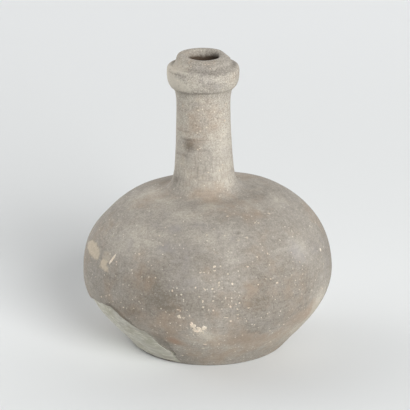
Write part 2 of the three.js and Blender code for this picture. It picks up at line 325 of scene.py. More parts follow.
# %% Neck and lip
NECK_RADIUS = 21.1
NECK_LENGTH = 111
BORE = 13
LIP_HEIGHT = 6.4
COLLAR_HEIGHT = 24.6
COLLAR_SEAT = 18.6  # radius of the step that the collar sits on
CREST = SHOULDER_TOP + NECK_LENGTH
LIP_BASE = CREST - LIP_HEIGHT
COLLAR_STEP = LIP_BASE - COLLAR_HEIGHT
COLLAR_LINE = COLLAR_STEP + 0.6  # where neck and collar meet at the skin
COVE_RADIUS = 21.9
CREASE_RADIUS = 22.4
CREASE_HEIGHT = LIP_BASE - 2
LIP_CROWN = 16.8  # radius of the lip's highest line
flare_start = (NECK_RADIUS - 0.1, COLLAR_STEP - 14.3)
neck_shaft = bezier(
    [(COIL_TOP_RADIUS, COIL_TOP), (NECK_RADIUS, COIL_TOP + 24.7), flare_start], FINE * 0.8
)
neck_flare = bezier(
    [
        flare_start,
        (NECK_RADIUS - 0.2, COLLAR_STEP - 5.3),
        (NECK_RADIUS + 0.3, COLLAR_STEP - 2.3),
        (COVE_RADIUS, COLLAR_LINE),
    ],
    FINE / 2,
)
lip_side = bezier(
    [(CREASE_RADIUS, CREASE_HEIGHT), (20.7, LIP_BASE + 1), (20, CREST - 0.7), (LIP_CROWN, CREST)],
    FINE / 2,
)
lip_throat = bezier(
    [(LIP_CROWN, CREST), (BORE + 2, CREST), (BORE + 0.9, CREST - 0.6), (BORE + 0.2, CREST - 2)],
    FINE / 2,
)
neck_outline = (
    neck_shaft
    + neck_flare[1:]
    + [(NECK_RADIUS - SKIN, COLLAR_LINE), (NECK_RADIUS - SKIN, COLLAR_STEP)]
    + [(COLLAR_SEAT, COLLAR_STEP), (COLLAR_SEAT, LIP_BASE)]
    + lip_side
    + lip_throat[1:]
    + line((BORE, CREST - 3), (BORE, CREST - 14), FINE)
    + line((BORE, CREST - 14), (BORE, under), FINE * 3)
    + [(BORE, under), (NECK_FOOT, under), (NECK_FOOT, COIL_TOP)]
)
neck = thrown("neck_clay", neck_outline, NECK_TURNS)

# %% [markdown]
# ### Mouth collar
# The collar is a strap of clay wrapped round the neck. Its lower edge overhangs a hollow, and
# its face swells to a soft ridge, from which a slope runs in to the crease under the lip.
# Four curves, end to end, let each of these have its own roundness, which a bevelled ring
# would make all alike.

# %% Mouth collar
EDGE_RADIUS = 25.6
EDGE_HEIGHT = COLLAR_STEP + 5.8
ridge_foot = (28, LIP_BASE - 5.5)
ridge_top = (25.2, LIP_BASE - 2.3)
collar_cove = bezier(
    [
        (COVE_RADIUS, COLLAR_LINE),
        (22.3, EDGE_HEIGHT - 3.1),
        (24, EDGE_HEIGHT - 0.6),
        (EDGE_RADIUS - 0.4, EDGE_HEIGHT - 0.4),
    ],
    FINE / 2,
)
collar_face = bezier(
    [(EDGE_RADIUS, EDGE_HEIGHT), (27.6, EDGE_HEIGHT + 2.9), (28.5, EDGE_HEIGHT + 7.4), ridge_foot],
    FINE / 2,
)
collar_ridge = bezier(
    [ridge_foot, (27.9, LIP_BASE - 3.4), (26.6, LIP_BASE - 2.3), ridge_top], FINE / 3
)
collar_slope = bezier(
    [ridge_top, (24.2, LIP_BASE - 2.3), (23.2, LIP_BASE - 2.9), (CREASE_RADIUS, CREASE_HEIGHT)],
    FINE / 2,
)
seat_face = COLLAR_SEAT + SEAM
collar_outline = (
    collar_cove
    + collar_face
    + collar_ridge[1:]
    + collar_slope[1:]
    + [(seat_face, CREASE_HEIGHT + 0.5), (seat_face, COLLAR_STEP + SEAM)]
    + [(NECK_RADIUS - SKIN, COLLAR_STEP + SEAM), (NECK_RADIUS - SKIN, COLLAR_LINE)]
)
mouth_collar = thrown("mouth_collar_clay", collar_outline, NECK_TURNS)

# %% [markdown]
# ## The loss and its fill
# Low on one side a shallow piece of the wall is gone, and a plaster fill lies in the hollow,
# a little below the old face. On a bench it would be cut with a chisel, and here with the
# Boolean modifier: a block with the loss's outline, less the part of the bowl that is left
# under it, is taken out of the bowl. The fill is the layer between two depths, inside the
# same outline. Beside it, a shallow scar was never filled. Cutting the outline's corners off
# four times and adding a small jitter gives it a broken edge.

# %% The loss
LOSS_AZIMUTH = math.radians(215)
LOSS_DEPTH = 4
FILL_TOP_SINK = 2.4
FILL_FOOT_RISE = 0.4
FILL_BACK_SINK = 3.7
SCAR_DEPTH = 0.9
EDGE_JITTER = 0.45
LOSS_CORNERS = [
    # across and up the wall, seen from outside
    (35.3, 3.2), (35.8, 7.5), (38.6, 13), (37, 17), (34.8, 23), (37, 31), (36, 35),
    (30, 39), (26, 42), (21.5, 45), (17, 49), (9, 52.5), (-2, 52.5), (-16, 50), (-35, 46),
    (-48, 38), (-49, 27), (-42, 16), (-30, 6), (-20, 2.2), (28, 2.2),
]
SCAR_CORNERS = [
    (30, 35), (33, 37.8), (39, 36.6), (43, 36.2), (46.8, 34), (47.8, 31), (46.9, 26),
    (44.8, 19.7), (42.8, 14.6), (39.5, 11), (33, 14), (30, 22),
]
outward = Vector((math.cos(LOSS_AZIMUTH), math.sin(LOSS_AZIMUTH), 0))
across = UP.cross(outward)


def broken_edge(corners, inset):
    """The outline of a broken place: its corners cut off, jittered and moved in."""
    points = [Vector(corner) for corner in corners]
    for _ in range(4):
        cut = []
        for here, there in zip(points, points[1:] + points[:1]):
            cut += [here.lerp(there, 0.25), here.lerp(there, 0.75)]
        points = cut
    middle = sum(points, Vector((0, 0))) / len(points)
    jittered = []
    for point in points:
        wander = noise.noise_vector(Vector((point.x, point.y, 0)) / 2.2) * EDGE_JITTER
        wander += noise.noise_vector(Vector((point.x, point.y, 9)) / 8) * EDGE_JITTER * 2
        inwards = (middle - point).normalized() * inset
        jittered.append(point + wander.to_2d() + inwards)
    return jittered


def wall_block(name, outline):
    """A block with an outline on the wall, from near the axis to outside the wall."""
    deselect()
    bpy.ops.mesh.primitive_circle_add(vertices=len(outline), fill_type="NGON")
    block = bpy.context.object
    block.name = name
    for vertex, corner in zip(block.data.vertices, outline):
        vertex.co = (across * corner.x + UP * corner.y + outward * 20) * MM
    bpy.ops.object.mode_set(mode="EDIT")
    bpy.ops.mesh.select_all(action="SELECT")
    move = {"value": outward * 110 * MM}
    bpy.ops.mesh.extrude_region_move(TRANSFORM_OT_translate=move)
    bpy.ops.mesh.select_all(action="SELECT")
    bpy.ops.mesh.normals_make_consistent(inside=False)
    bpy.ops.object.mode_set(mode="OBJECT")
    return block


def carve(piece, tool, operation):
    """Cut a piece with a tool, or keep what they share, and throw the tool away."""
    deselect()
    bpy.context.view_layer.objects.active = piece
    piece.select_set(True)
    cutter = piece.modifiers.new("cut", "BOOLEAN")
    cutter.object = tool
    cutter.operation = operation
    cutter.solver = "EXACT"
    bpy.ops.object.modifier_apply(modifier=cutter.name)
    bpy.data.objects.remove(tool)


def wall_core(name, offset, foot_offset=None):
    """The bowl's outside as one solid, at a depth under its face."""
    wall = lower_wall(offset, FINE * 1.5, foot_offset)
    top = wall[-1][1]
    core = [(0, wall[0][1])] + wall + line((wall[-1][0] - 10, top), (0, top), 20) + [(0, top)]
    return thrown(name, core, BODY_TURNS)


for corners, depth in ((LOSS_CORNERS, LOSS_DEPTH), (SCAR_CORNERS, SCAR_DEPTH)):
    block = wall_block("broken_away", broken_edge(corners, 0))
    carve(block, wall_core("left_under_the_break", -depth), "DIFFERENCE")
    carve(lower_body, block, "DIFFERENCE")
fill = wall_block("restoration_fill_plaster", broken_edge(LOSS_CORNERS, 0.04))
carve(fill, wall_core("fill_face", -FILL_TOP_SINK, FILL_FOOT_RISE), "INTERSECT")
carve(fill, wall_core("fill_back", -FILL_BACK_SINK), "DIFFERENCE")
print("the bowl after the cut:", len(lower_body.data.polygons), "faces")
print("the fill:", len(fill.data.polygons), "faces")

# %% [markdown]
# ## Hand and kiln
# A hand-thrown pot isn't true: it leans, its wall swells and sinks by tenths of a millimetre,
# faint rings run round it, and knocks have dented it. All of that is one movement of points,
# worked out from where a point is and from nothing else, so that pieces that touch still
# touch afterwards. A push goes along the wall's own outward direction: away from a ring
# inside the body, and straight out on the neck.

# %% Where a point is on the bottle
BODY_LEAN = math.radians(2.3)
NECK_LEAN = math.radians(0.5)
LEAN_BLEND = 20


def smooth(value, low, high):
    """0 below low, 1 above high and an even rise between them."""
    share = np.clip((value - low) / (high - low), 0, 1)
    return share * share * (3 - 2 * share)


def lean_at(height):
    """The lean at a height: none at the foot, full from the widest line, less up the neck."""
    rising = BODY_LEAN * np.clip(height / EQUATOR, 0, 1)
    blend = np.clip((height - (SHOULDER_TOP - BODY_WALL)) / LEAN_BLEND, 0, 1)
    return rising + (NECK_LEAN - BODY_LEAN) * blend


def settle(points):
    """Carry upright points in millimetres over to the leaning axis."""
    heights = np.arange(-5, CREST + 5, 0.25)
    slope = np.tan(lean_at(heights)) * 0.25
    drift = -np.cumsum(slope)
    drift -= np.interp(EQUATOR, heights, drift)
    lean = lean_at(points[:, 2])
    moved = points.copy()
    moved[:, 0] = np.interp(points[:, 2], heights, drift) + points[:, 0] * np.cos(lean)
    moved[:, 2] = points[:, 2] + points[:, 0] * np.sin(lean)
    return moved


def outward_of(points):
    """The wall's outward direction at each point."""
    radius = np.hypot(points[:, 0], points[:, 1])
    away = np.stack([radius - SHOULDER_SEAT, points[:, 2] - EQUATOR], axis=1)
    away /= np.linalg.norm(away, axis=1)[:, None] + 1e-6
    upright = smooth(points[:, 2], SHOULDER_TOP - 2, SHOULDER_TOP + 16)[:, None]
    away = away * (1 - upright) + np.array([1.0, 0.0]) * upright
    away /= np.linalg.norm(away, axis=1)[:, None] + 1e-6
    flat = points[:, :2] / (radius[:, None] + 1e-6)
    return np.concatenate([flat * away[:, :1], away[:, 1:]], axis=1)


def lumps(points, size, seed):
    """Smooth noise between about -1 and 1 with lumps of a size in millimetres."""
    shift = Vector((17.3, 5.1, 9.7)) * seed
    scaled = points / size
    return np.array([noise.noise(Vector(point) + shift) for point in scaled])


# %% [markdown]
# A place on the skin is told as a finger would show it: how far round, and how high. A mark is
# a soft oval about such a place, and the same oval serves for dents, clouds and stains.

# %% Places on the skin
def skin_radius(height):
    """The outer radius at a height, before any knock."""
    wall = lower_wall(0, 1) + shoulder_wall(0, EQUATOR, ROOT_RADIUS, 1)[1:]
    wall += root_sweep[1:] + neck_shaft[1:] + neck_flare[1:]
    wall += collar_cove[1:] + collar_face + collar_ridge[1:] + lip_side
    wall = np.array(wall)
    return float(np.interp(height, wall[:, 1], wall[:, 0]))


def skin_frame(azimuth, height):
    """A point on the skin, with its directions round the bottle and up the wall."""
    angle = math.radians(azimuth)
    radius = skin_radius(height)
    centre = np.array([radius * math.cos(angle), radius * math.sin(angle), height])
    sideways = np.array([-math.sin(angle), math.cos(angle), 0])
    normal = outward_of(centre[None])[0]
    return centre, sideways, np.cross(normal, sideways), normal


def spot(points, azimuth, height, width, tall, turn=0):
    """A soft oval round a place on the skin: 1 in its middle, fading at its half sizes."""
    centre, sideways, upwards, normal = skin_frame(azimuth, height)
    turned = math.radians(turn)
    long_way = math.cos(turned) * sideways + math.sin(turned) * upwards
    short_way = math.cos(turned) * upwards - math.sin(turned) * sideways
    offset = points - centre
    away = (offset @ long_way / width) ** 2 + (offset @ short_way / tall) ** 2
    away += (offset @ normal / max(width, tall)) ** 2
    return np.exp(-away)


# %% [markdown]
# The relief is a sum: broad swells of the wall, fine grain, flat lumps that read as throwing
# rings, and the knocks one by one. It fades out at the foot and at the crest, so that the
# bottle stands flat and keeps its height. Sculpting could do it too, but not the same on both
# sides of a joint.

# %% Relief
KNOCKS = [
    # azimuth, height, half width, half height, push out in millimetres
    (160, 106, 22, 10, -0.9),
    (170, 84, 24, 14, 0.9),
    (45, 117, 34, 16, 0.9),
    (150, 118, 26, 9, 0.5),
    (352, 24, 34, 26, 0.5),
    (222, 52, 16, 3, -0.4),
    (251, 64, 7, 1.2, -0.3),
    (200, 178, 14, 16, 0.5),
    (217, 226.3, 14, 0.9, 0.35),
    (220, 223.6, 14, 0.7, -0.45),
    (354, 231.8, 10, 2.2, 1.2),
    (354, 227, 10, 1.2, -0.4),
]


def relief(points):
    """How far each point is pushed out of or into the wall, in millimetres."""
    height = points[:, 2]
    # A depth times lumps of a size, in millimetres, and the seed of their noise
    swell = 0.4 * lumps(points, 62, 1) + 0.16 * lumps(points, 21, 2)
    grainy = 0.05 * lumps(points, 5, 3)
    ringed = points * np.array([0.12, 0.12, 1.0])  # lumps drawn out flat round the axis
    rings = 0.07 * lumps(ringed, 3.4, 4) + 0.05 * lumps(ringed, 1.9, 5)
    on_neck = smooth(height, SHOULDER_TOP, COIL_TOP)
    widest = np.exp(-(((height - EQUATOR) / 20) ** 2))
    push = swell * (1 - 0.5 * on_neck) - 0.4 * widest
    push += grainy + rings * (1 - 0.5 * on_neck)
    for azimuth, place, width, tall, depth in KNOCKS:
        push += depth * spot(points, azimuth, place, width, tall)
    crest = 1 - smooth(height, CREST - 4, CREST)
    return push * smooth(height, 0.3, 7) * crest


LIP_SLIP = 1.0
LIP_SAG = 1.7
COLLAR_SAG = 1.8
SAG_AZIMUTH = math.radians(305)
SAG_BEGINS = 0.68  # cosine of the angle off the middle of the collar's sag
SAG_FULL = 0.97
SAG_HEIGHTS = (EDGE_HEIGHT + 2.9, EDGE_HEIGHT + 12.9)  # no sag below, all of it above


def mouth_sag(points):
    """How far the lip and the collar's edge have sunk at the front right, in millimetres."""
    radius = np.hypot(points[:, 0], points[:, 1]) + 1e-6
    facing = points[:, 0] * math.cos(SAG_AZIMUTH) + points[:, 1] * math.sin(SAG_AZIMUTH)
    edge = smooth(radius, CREASE_RADIUS, EDGE_RADIUS + 0.9) * smooth(points[:, 2], *SAG_HEIGHTS)
    collar = COLLAR_SAG * edge * smooth(facing / radius, SAG_BEGINS, SAG_FULL)
    on_lip = smooth(points[:, 2], LIP_BASE, CREST)
    return collar + LIP_SAG * on_lip * np.clip(facing / BORE, 0, 1)


def shape_by_hand(piece):
    """Push and lean a piece's points, and return where they were before."""
    mesh = piece.data
    flat = np.zeros(len(mesh.vertices) * 3, np.float32)
    mesh.vertices.foreach_get("co", flat)
    points = flat.reshape(-1, 3).astype(float) / MM
    pushed = points + outward_of(points) * relief(points)[:, None]
    on_lip = smooth(points[:, 2], LIP_BASE, CREST)
    pushed[:, 0] -= LIP_SLIP * on_lip
    pushed[:, 2] -= mouth_sag(points)
    mesh.vertices.foreach_set("co", (settle(pushed) * MM).astype(np.float32).ravel())
    mesh.update()
    return points


# %% [markdown]
# ### Grains of lime
# Bits of limestone in the clay burn white in the kiln, and show at the skin as cream grains a
# millimetre or two wide. Each starts as a small ball, squashed into the wall at its own place
# and roughened by noise, so that no two are alike. One long sliver on the left is a scratch.
# Low on the front a crust of lime from the soil clings to the wall. Modelled as a few large
# lumps it looks soft, so it is a crowd of small flat grains, strewn by a seeded chance in
# small ovals.

# %% Lime
GRAIN_THICKNESS = 0.5
GRAIN_SWELL = 0.12
GRAIN_SINK = 0.1
ROUGHEN = ((0.6, 0.3), (1.3, 0.2))  # waves in a millimetre, and their reach in millimetres
LIME_PLACES = [
    # azimuth, height, width, height on the wall, turn
    (174, 118, 2.4, 1, 30), (193.5, 108.5, 1.2, 1.2, 0), (210, 103, 1.7, 1.2, 40),
    (234.5, 98.5, 2.6, 1.1, 0), (241, 95, 2.2, 1.1, -10), (232.5, 87.5, 1.3, 1.3, 0),
    (222, 89.5, 1.6, 1.2, 0), (208.5, 72, 1.2, 1.2, 0), (214, 58.5, 1.8, 1.4, 0),
    (220.5, 63.5, 1.3, 1.5, 0), (229, 75.5, 1.2, 1.2, 0), (246.5, 106, 1.5, 1, 0),
    (243.5, 115.5, 1.2, 1.2, 0), (242, 111, 1.3, 1.2, 0), (246, 85, 1.3, 1.2, 0),
    (228, 61, 1.4, 1.1, 0), (239, 64.5, 1.2, 1.1, 0), (218.5, 90.1, 2.4, 10.5, -24),
    (288.5, 122.5, 1.2, 1.1, 0), (288, 120.5, 1.9, 1.2, 0), (276, 115.5, 1.5, 1.2, 0),
    (271, 112.5, 1.5, 1.2, 0), (281.5, 111.5, 1.2, 1.1, 0), (289, 108, 2.4, 0.7, 0),
    (294, 108.5, 1.6, 1.4, 0), (320, 117, 2.6, 1.6, -50), (306, 115.5, 2, 1.2, -60),
    (304, 115, 2, 1, 35), (306.5, 114.5, 1.6, 1, -20), (274, 93.5, 2.2, 2.4, 0),
    (274, 91, 2.2, 1, 0), (277, 93.5, 1.5, 1.2, 20), (280, 88, 1.9, 1.4, -30),
    (275.5, 82.5, 2.4, 1.5, 45), (281.5, 81, 1.7, 1.7, 0), (275.5, 80.5, 1.2, 1.5, 0),
    (272.5, 78.5, 2.2, 1.6, 50), (290, 91, 1.8, 1.2, -10), (267, 90, 1.3, 1.2, 0),
    (269, 90, 1.8, 1.1, 0), (265, 79.5, 1.5, 1.1, 10), (269, 78.5, 2.8, 0.8, -50),
    (296, 96, 1.4, 1.1, 0), (302, 96.5, 1.2, 1.3, 0), (303, 75.5, 1.9, 1.5, 0),
    (300, 79.5, 1.8, 1, 0), (254.5, 77, 1.3, 1.8, 0), (341, 118.5, 1.1, 1, 0),
    (346, 111, 1.2, 1.4, 0), (343, 98.5, 1.1, 1.1, 0), (316, 92.5, 1.3, 1.1, 0),
    (339, 83, 2.2, 2.4, 0), (337, 78, 1, 1.5, 0), (337.5, 72, 1, 1.6, 0),
    (312, 77.5, 1.3, 1.2, 0), (313.5, 72.5, 1.4, 1.1, 0), (334, 54, 1.6, 1.2, 0),
    (297, 53.5, 1.3, 1.2, 0), (308, 38.5, 1.3, 1.2, 0), (300.5, 36, 1.4, 1.2, 0),
    (306, 21, 2, 1, 20), (268, 69.5, 1.2, 2.2, 0), (268, 65, 1.4, 1.8, -30),
    (266.5, 73, 1.4, 1.2, 0), (272.5, 69.5, 1.8, 1, 10), (278, 71, 1.2, 1.7, 0),
    (272.5, 62, 1.5, 1.5, 0), (270.5, 62.5, 1.3, 1.3, 0), (280, 64, 1.6, 1.5, 30),
    (280, 52, 2.2, 1.5, 0), (278, 55.5, 4, 0.9, -5), (283, 57, 2.4, 0.9, 0),
    (283, 54, 1.1, 1.1, 0), (284, 66, 1.4, 1.2, 0), (282.5, 65.5, 1.2, 1, 0),
    (284.5, 72, 1.1, 1.1, 0), (288, 61, 1.9, 1.1, 0), (283, 61.5, 1.6, 0.9, 0),
    (268, 29, 3, 1.4, 0), (266.5, 24, 3.4, 1.1, 0), (275, 29, 1.5, 1.1, 0),
    (271.5, 13, 1.2, 1.3, 0), (253.5, 12.5, 2, 0.9, 0), (287, 50.5, 1.1, 1.2, 0),
    (286, 37, 1.2, 0.9, 0), (257, 164, 1.7, 1.4, 0), (262, 165, 1, 1, 0),
    (321.5, 184.5, 1.2, 2, 0), (325, 197.5, 1.1, 1.1, 0), (297, 187, 1.4, 0.9, 20),
    (276, 182, 1.6, 0.8, 50), (263, 179, 1.6, 0.9, 10), (256, 177.5, 1.7, 1.3, 0),
    (232, 191, 1.8, 0.8, 0), (259, 195.5, 1.5, 0.9, 20), (265.5, 191.5, 1.2, 1.1, 30),
    (221, 197, 1.1, 1.8, -20), (240, 189, 1, 1, 0), (259.5, 187, 1.2, 1.1, 0),
    (222, 166, 1.2, 1.2, 0), (301.5, 146.5, 1.2, 1.8, 0), (278, 146, 1.4, 1.1, 0),
    (309.5, 150.5, 1, 1.1, 0), (309, 219.5, 1.3, 1.4, 0), (303.5, 212.7, 1.2, 1.2, 0),
    (247, 220.4, 1, 1.3, 0), (239.5, 232.8, 1.1, 1, 0), (244, 229.9, 1, 1.5, 20),
    (219.5, 228.6, 1.1, 1, 0), (299, 233, 1.1, 1, 0), (276, 232.2, 1, 1.1, 0),
    (284.5, 232.4, 1.2, 0.9, 0), (322.5, 225, 1, 1, 0), (285, 228.4, 0.9, 1, 0),
    (218, 61.5, 1.1, 1, 0), (223, 59.5, 1.2, 0.9, 0), (229.5, 57.3, 1.5, 1.1, 0),
    (235.5, 58.8, 1.3, 1, 0), (243, 92.9, 1.1, 1, 0), (206, 82.6, 1.1, 1, 0),
    (319, 84, 1.1, 1, 0), (300, 99.3, 1.1, 0.9, 0), (293.5, 77.5, 1.1, 1, 0),
    (301, 63.3, 1.2, 1, 0), (315, 64.4, 1, 1.1, 0), (294, 51, 1.2, 0.9, 0),
    (291, 45.7, 1.1, 1, 0), (277, 21.6, 1.2, 0.9, 0), (285, 17.2, 1.1, 1, 0),
    (259.5, 21.6, 1.2, 0.9, 0), (266, 16.6, 1.3, 0.9, 0), (303, 19, 1.1, 1, 0),
    (263, 40, 1.4, 1.2, 0), (265, 39.5, 1.6, 1, 30), (269, 44, 1.6, 0.8, -20),
    (258, 61.5, 1.2, 1, 0),
    (257, 62.5, 3, 0.9, 10), (261, 62.5, 1.2, 1.2, 0), (262, 58, 1, 2, 0),
    (257.5, 49, 1.8, 1, 0),
]
CRUSTS = [
    # azimuth, height, half width, half height, grains, the largest of them in millimetres
    (263, 48.8, 1.8, 3, 26, 2.2),
    (265.2, 45.4, 3.4, 2, 36, 2.3),
    (268, 47.2, 1.8, 1.3, 20, 2.5),
    (266.6, 42.4, 4.6, 1.6, 12, 1.2),
    (257.4, 56.9, 1.3, 0.9, 9, 1.9),
    (259.6, 56.2, 1.2, 0.5, 5, 1.4),
]
CRUST_SEED = 11

# %% Strew the crust
random.seed(CRUST_SEED)
grains = list(LIME_PLACES)
for azimuth, height, width, tall, count, largest in CRUSTS:
    per_degree = math.radians(skin_radius(height))
    for _ in range(count):
        angle = random.uniform(0, math.tau)
        reach = math.sqrt(random.random())
        size = random.uniform(0.5, 1) * largest
        flat = size * random.uniform(0.6, 1)
        turn = random.uniform(0, 180)
        place = azimuth + width * reach * math.cos(angle) / per_degree
        grains.append((place, height + tall * reach * math.sin(angle), size, flat, turn))
print("grains of lime:", len(grains))

# %% Press the grains in
deselect()
bpy.ops.mesh.primitive_plane_add(size=MM)
lime_grains = bpy.context.object
lime_grains.name = lime_grains.data.name = "lime_grains"
bpy.ops.object.mode_set(mode="EDIT")
bpy.ops.mesh.delete(type="VERT")
for azimuth, height, width, tall, turn in grains:
    centre, sideways, upwards, normal = (Vector(part) for part in skin_frame(azimuth, height))
    axes = Matrix((sideways, upwards, normal)).transposed()
    axes = axes @ Matrix.Rotation(math.radians(turn), 3, "Z")
    bpy.ops.mesh.primitive_ico_sphere_add(
        subdivisions=3,
        radius=0.5 * MM,
        location=(centre - normal * GRAIN_SINK) * MM,
        rotation=axes.to_euler(),
        scale=(width, tall, GRAIN_THICKNESS + GRAIN_SWELL * min(width, tall)),
    )
bpy.ops.object.mode_set(mode="OBJECT")
for vertex in lime_grains.data.vertices:
    place = vertex.co / MM
    for pace, reach in ROUGHEN:
        vertex.co += noise.noise_vector(place * pace) * reach * MM
grain_points = len(lime_grains.data.vertices) // len(grains)
grain_sizes = np.repeat([min(width, tall) for _, _, width, tall, _ in grains], grain_points)
print("faces of lime:", len(lime_grains.data.polygons))

# %% [markdown]
# Now all pieces get the same relief and lean. Where a point was before is kept, because the
# marks are placed on the upright bottle.

# %% Shape every piece
clay_pieces = [lower_body, upper_body, root_coil, neck, mouth_collar]
before = {piece.name: shape_by_hand(piece) for piece in clay_pieces + [fill, lime_grains]}
print("shaped by hand:", ", ".join(before))

# %% [markdown]
# ## Where the clay is paler, warmer or dirty, and where light and shade are painted
# The kiln's smoke and the soil have coloured the skin unevenly. Broad clouds are painted as
# numbers on the points, because they belong to places on this bottle, and the materials break
# them up with finer noise. Each cloud is a soft oval at an azimuth and a height. A few ovals are
# painted light and shade instead: a shadow under the collar's edge, highlights and shade along
# the collar's rolled edges and the crease under the lip, and a sheen on the body.

# %% Clouds
TONES_AND_PAINTED_LIGHT = [
    # azimuth, height, half width, half height, turn, paler (+) or darker (-)
    # the collar and the lip, with painted shadow, shade and highlights among the clouds
    # painted shadow: the first two ovals darken the hollow under the collar's edge
    (232, 209, 8, 1.2, 0, -0.7), (263, 210, 7, 0.9, 0, -0.7), (290, 216, 16, 8, 0, -0.35),
    (330, 217, 10, 9, 0, 0.3), (270, 216, 12, 7, 0, -0.2), (216, 229.5, 9, 4, 0, 0.5),
    # painted highlight: the last oval lights the rolled edge on the left
    (222, 217, 22, 8, 0, 0.85), (204, 220, 10, 10, 0, 0.45), (218, 226.3, 14, 1, 0, 0.6),
    # painted shade: the first oval darkens the groove under that rolled edge
    (220, 223.5, 14, 0.8, 0, -0.8), (236, 221.3, 9, 2.4, 0, -0.5), (270, 231, 30, 4, 0, -0.45),
    # painted shade in the crease under the lip (the first two ovals), and a painted highlight on the
    # ridge (the last)
    (250, 227, 14, 1.2, 0, -0.2), (292, 227.2, 26, 1, 0, -0.3), (290, 223.4, 22, 1.1, 0, 0.3),
    # the neck
    (238.5, 167.5, 6, 2.8, 0, -1.1), (241, 164.5, 4, 3.6, 0, -0.7), (235, 163, 3, 4, 0, -0.4),
    (236, 170.4, 5, 1, 0, -0.7), (241, 171.5, 7, 0.9, 0, -0.9), (222, 177.2, 7, 0.8, 0, -0.6),
    (272, 163.5, 7, 0.8, 0, -0.5), (224, 157.9, 7, 1.2, 0, -0.7), (215, 185, 10, 14, 0, 0.25),
    (270, 152, 12, 14, 0, -0.25), (318, 172, 12, 40, 0, 0.25), (262, 190, 14, 14, 0, -0.2),
    (212, 155, 10, 12, 0, 0.3),
    # the shoulder and the root of the neck
    (222, 106, 34, 16, 0, 0.42), (258, 119.5, 14, 7, 0, 0.3), (275, 124, 16, 7, 0, 0.5),
    (278, 112, 20, 9, 0, 0.3), (190, 121, 18, 8, 0, 0.45), (192, 124, 14, 6, 0, 0.4),
    (339, 119, 16, 8, 0, 0.35), (245, 122, 14, 6, 0, 0.4), (225, 124, 14, 6, 0, 0.45),
    (320, 122, 14, 6, 0, 0.3), (204, 136, 5, 4, 0, -0.9), (290, 111.7, 2, 1.4, 0, -0.9),
    (296, 135, 18, 6, 0, 0.3),
    # the middle of the body
    # painted sheen: the first oval here (azimuth 322, height 91), greyed in WARMTHS
    (322, 91, 9, 8, 0, 0.6), (310, 96.5, 12, 1.5, -6, 0.4), (285, 97.4, 8, 5, 0, 0.3),
    (243, 85, 16, 12, 0, -0.6), (250, 66, 22, 14, 0, -0.75), (262, 98, 22, 10, 0, -0.2),
    (285, 65, 60, 30, 0, -0.1), (270, 66, 14, 10, 0, -0.25), (231, 56, 14, 5, 0, -0.4),
    (305, 80, 34, 20, 0, -0.35), (0, 75, 30, 20, 0, -0.3), (186, 74, 26, 20, 0, -0.2),
    (318, 60, 22, 18, 0, -0.3), (291, 62, 14, 10, 0, -0.55), (222, 78, 14, 10, 0, -0.2),
    (250, 63, 4, 0.8, 8, -0.9),
    # low on the wall
    (323, 24, 18, 11, 0, 0.35), (276, 18, 60, 12, 0, 0.25), (271, 35, 13, 9, 0, 0.75),
    (267, 42, 7, 5, 0, 0.4), (257, 35, 10, 7, 0, 0.3), (305, 28, 20, 12, 0, 0.15),
    (308, 46, 12, 8, 0, -0.25), (332, 46, 12, 10, 0, 0.5), (333, 17, 22, 12, 0, 0.5),
    (252, 38, 8, 7, 0, -0.3), (285, 32, 12, 7, 0, -0.25), (290, 42, 20, 8, 0, -0.3),
    (335, 36, 20, 16, 0, 0.7), (247, 30, 6, 14, 0, -0.4),
]
WARMTHS = [
    # azimuth, height, half width, half height, turn, browner (+) or greyer (-)
    # the collar and the lip
    (222, 217, 16, 10, 0, -0.7), (290, 217, 18, 10, 0, -0.5), (275, 229, 18, 3, 0, -0.5),
    # the neck
    (256, 183, 12, 12, 0, 0.2), (238, 167, 9, 7, 0, 0.25),
    # the shoulder and the root of the neck
    (286, 131, 12, 5, 0, 0.6), (310, 118, 14, 5, 0, 0.8), (268, 128, 12, 6, 0, 0.8),
    (218, 106, 30, 16, 0, -0.7), (192, 116, 20, 12, 0, -0.5), (214, 101.7, 9, 5, 0, -0.6),
    (267, 117.9, 9, 4, 0, -0.8), (251.5, 115.7, 7, 4, 0, -0.7), (247, 104, 12, 6, 0, -1.0),
    # the middle of the body
    (235, 82, 22, 12, 0, 0.3), (190, 80, 24, 16, 0, 0.6), (271, 89, 9, 9, 0, 1.0),
    # the last oval here (azimuth 320, height 91) greys the painted sheen on the body
    (312, 82, 16, 12, 0, -0.7), (222, 72, 16, 10, 0, -0.4), (320, 91, 10, 9, 0, -1.2),
    (279, 61, 5, 3, 0, -0.6),
    # low on the wall
    (284, 32, 26, 9, 0, 0.6), (253, 30.5, 9, 5.5, -35, 2.1), (326, 38, 14, 12, 0, 1.5),
    (305, 28, 20, 10, 0, 0.7), (262, 14, 70, 14, 0, 0.8), (250, 48, 22, 14, 0, 1.0),
    (232, 46, 12, 6, 0, -0.5),
]
LIMY = [
    # azimuth, height, half width, half height, turn, density
    (268, 60, 26, 26, 0, 0.35), (232, 58, 24, 10, 0, 0.6), (258, 178, 14, 24, 0, 0.7),
    (268, 27, 10, 14, 0, 0.9), (325, 30, 30, 20, 0, 0.3), (268, 16, 50, 14, 0, 1.5),
    (250, 48, 20, 16, 0, 0.8),
]


def cloud(points, places):
    """The sum of soft ovals, each with its own strength."""
    return sum(strength * spot(points, *place) for *place, strength in places)


# %% [markdown]
# Two crisp patches of pale earth and a faint third sit high on the left, and above the plaster's
# upper edge a band of painted shade darkens the clay's worn edge. All are worked out from a
# distance to an outline on the wall, because a soft oval has no edge.

# %% Patches and rims
EARTH_PATCHES = [
    # how much it covers, and the corners as azimuth and height
    (
        1.0,
        [(190, 91), (198, 92.7), (205, 91), (207, 88), (206, 84), (198, 83.4), (187, 84), (185, 86)],
    ),
    (1.0, [(211, 86), (213, 87.5), (215.5, 86.5), (217, 82), (218, 80), (214.5, 80), (210.5, 82)]),
    (0.4, [(210.5, 92.5), (215, 94), (217, 90.5), (216, 86.5), (212, 87)]),
]


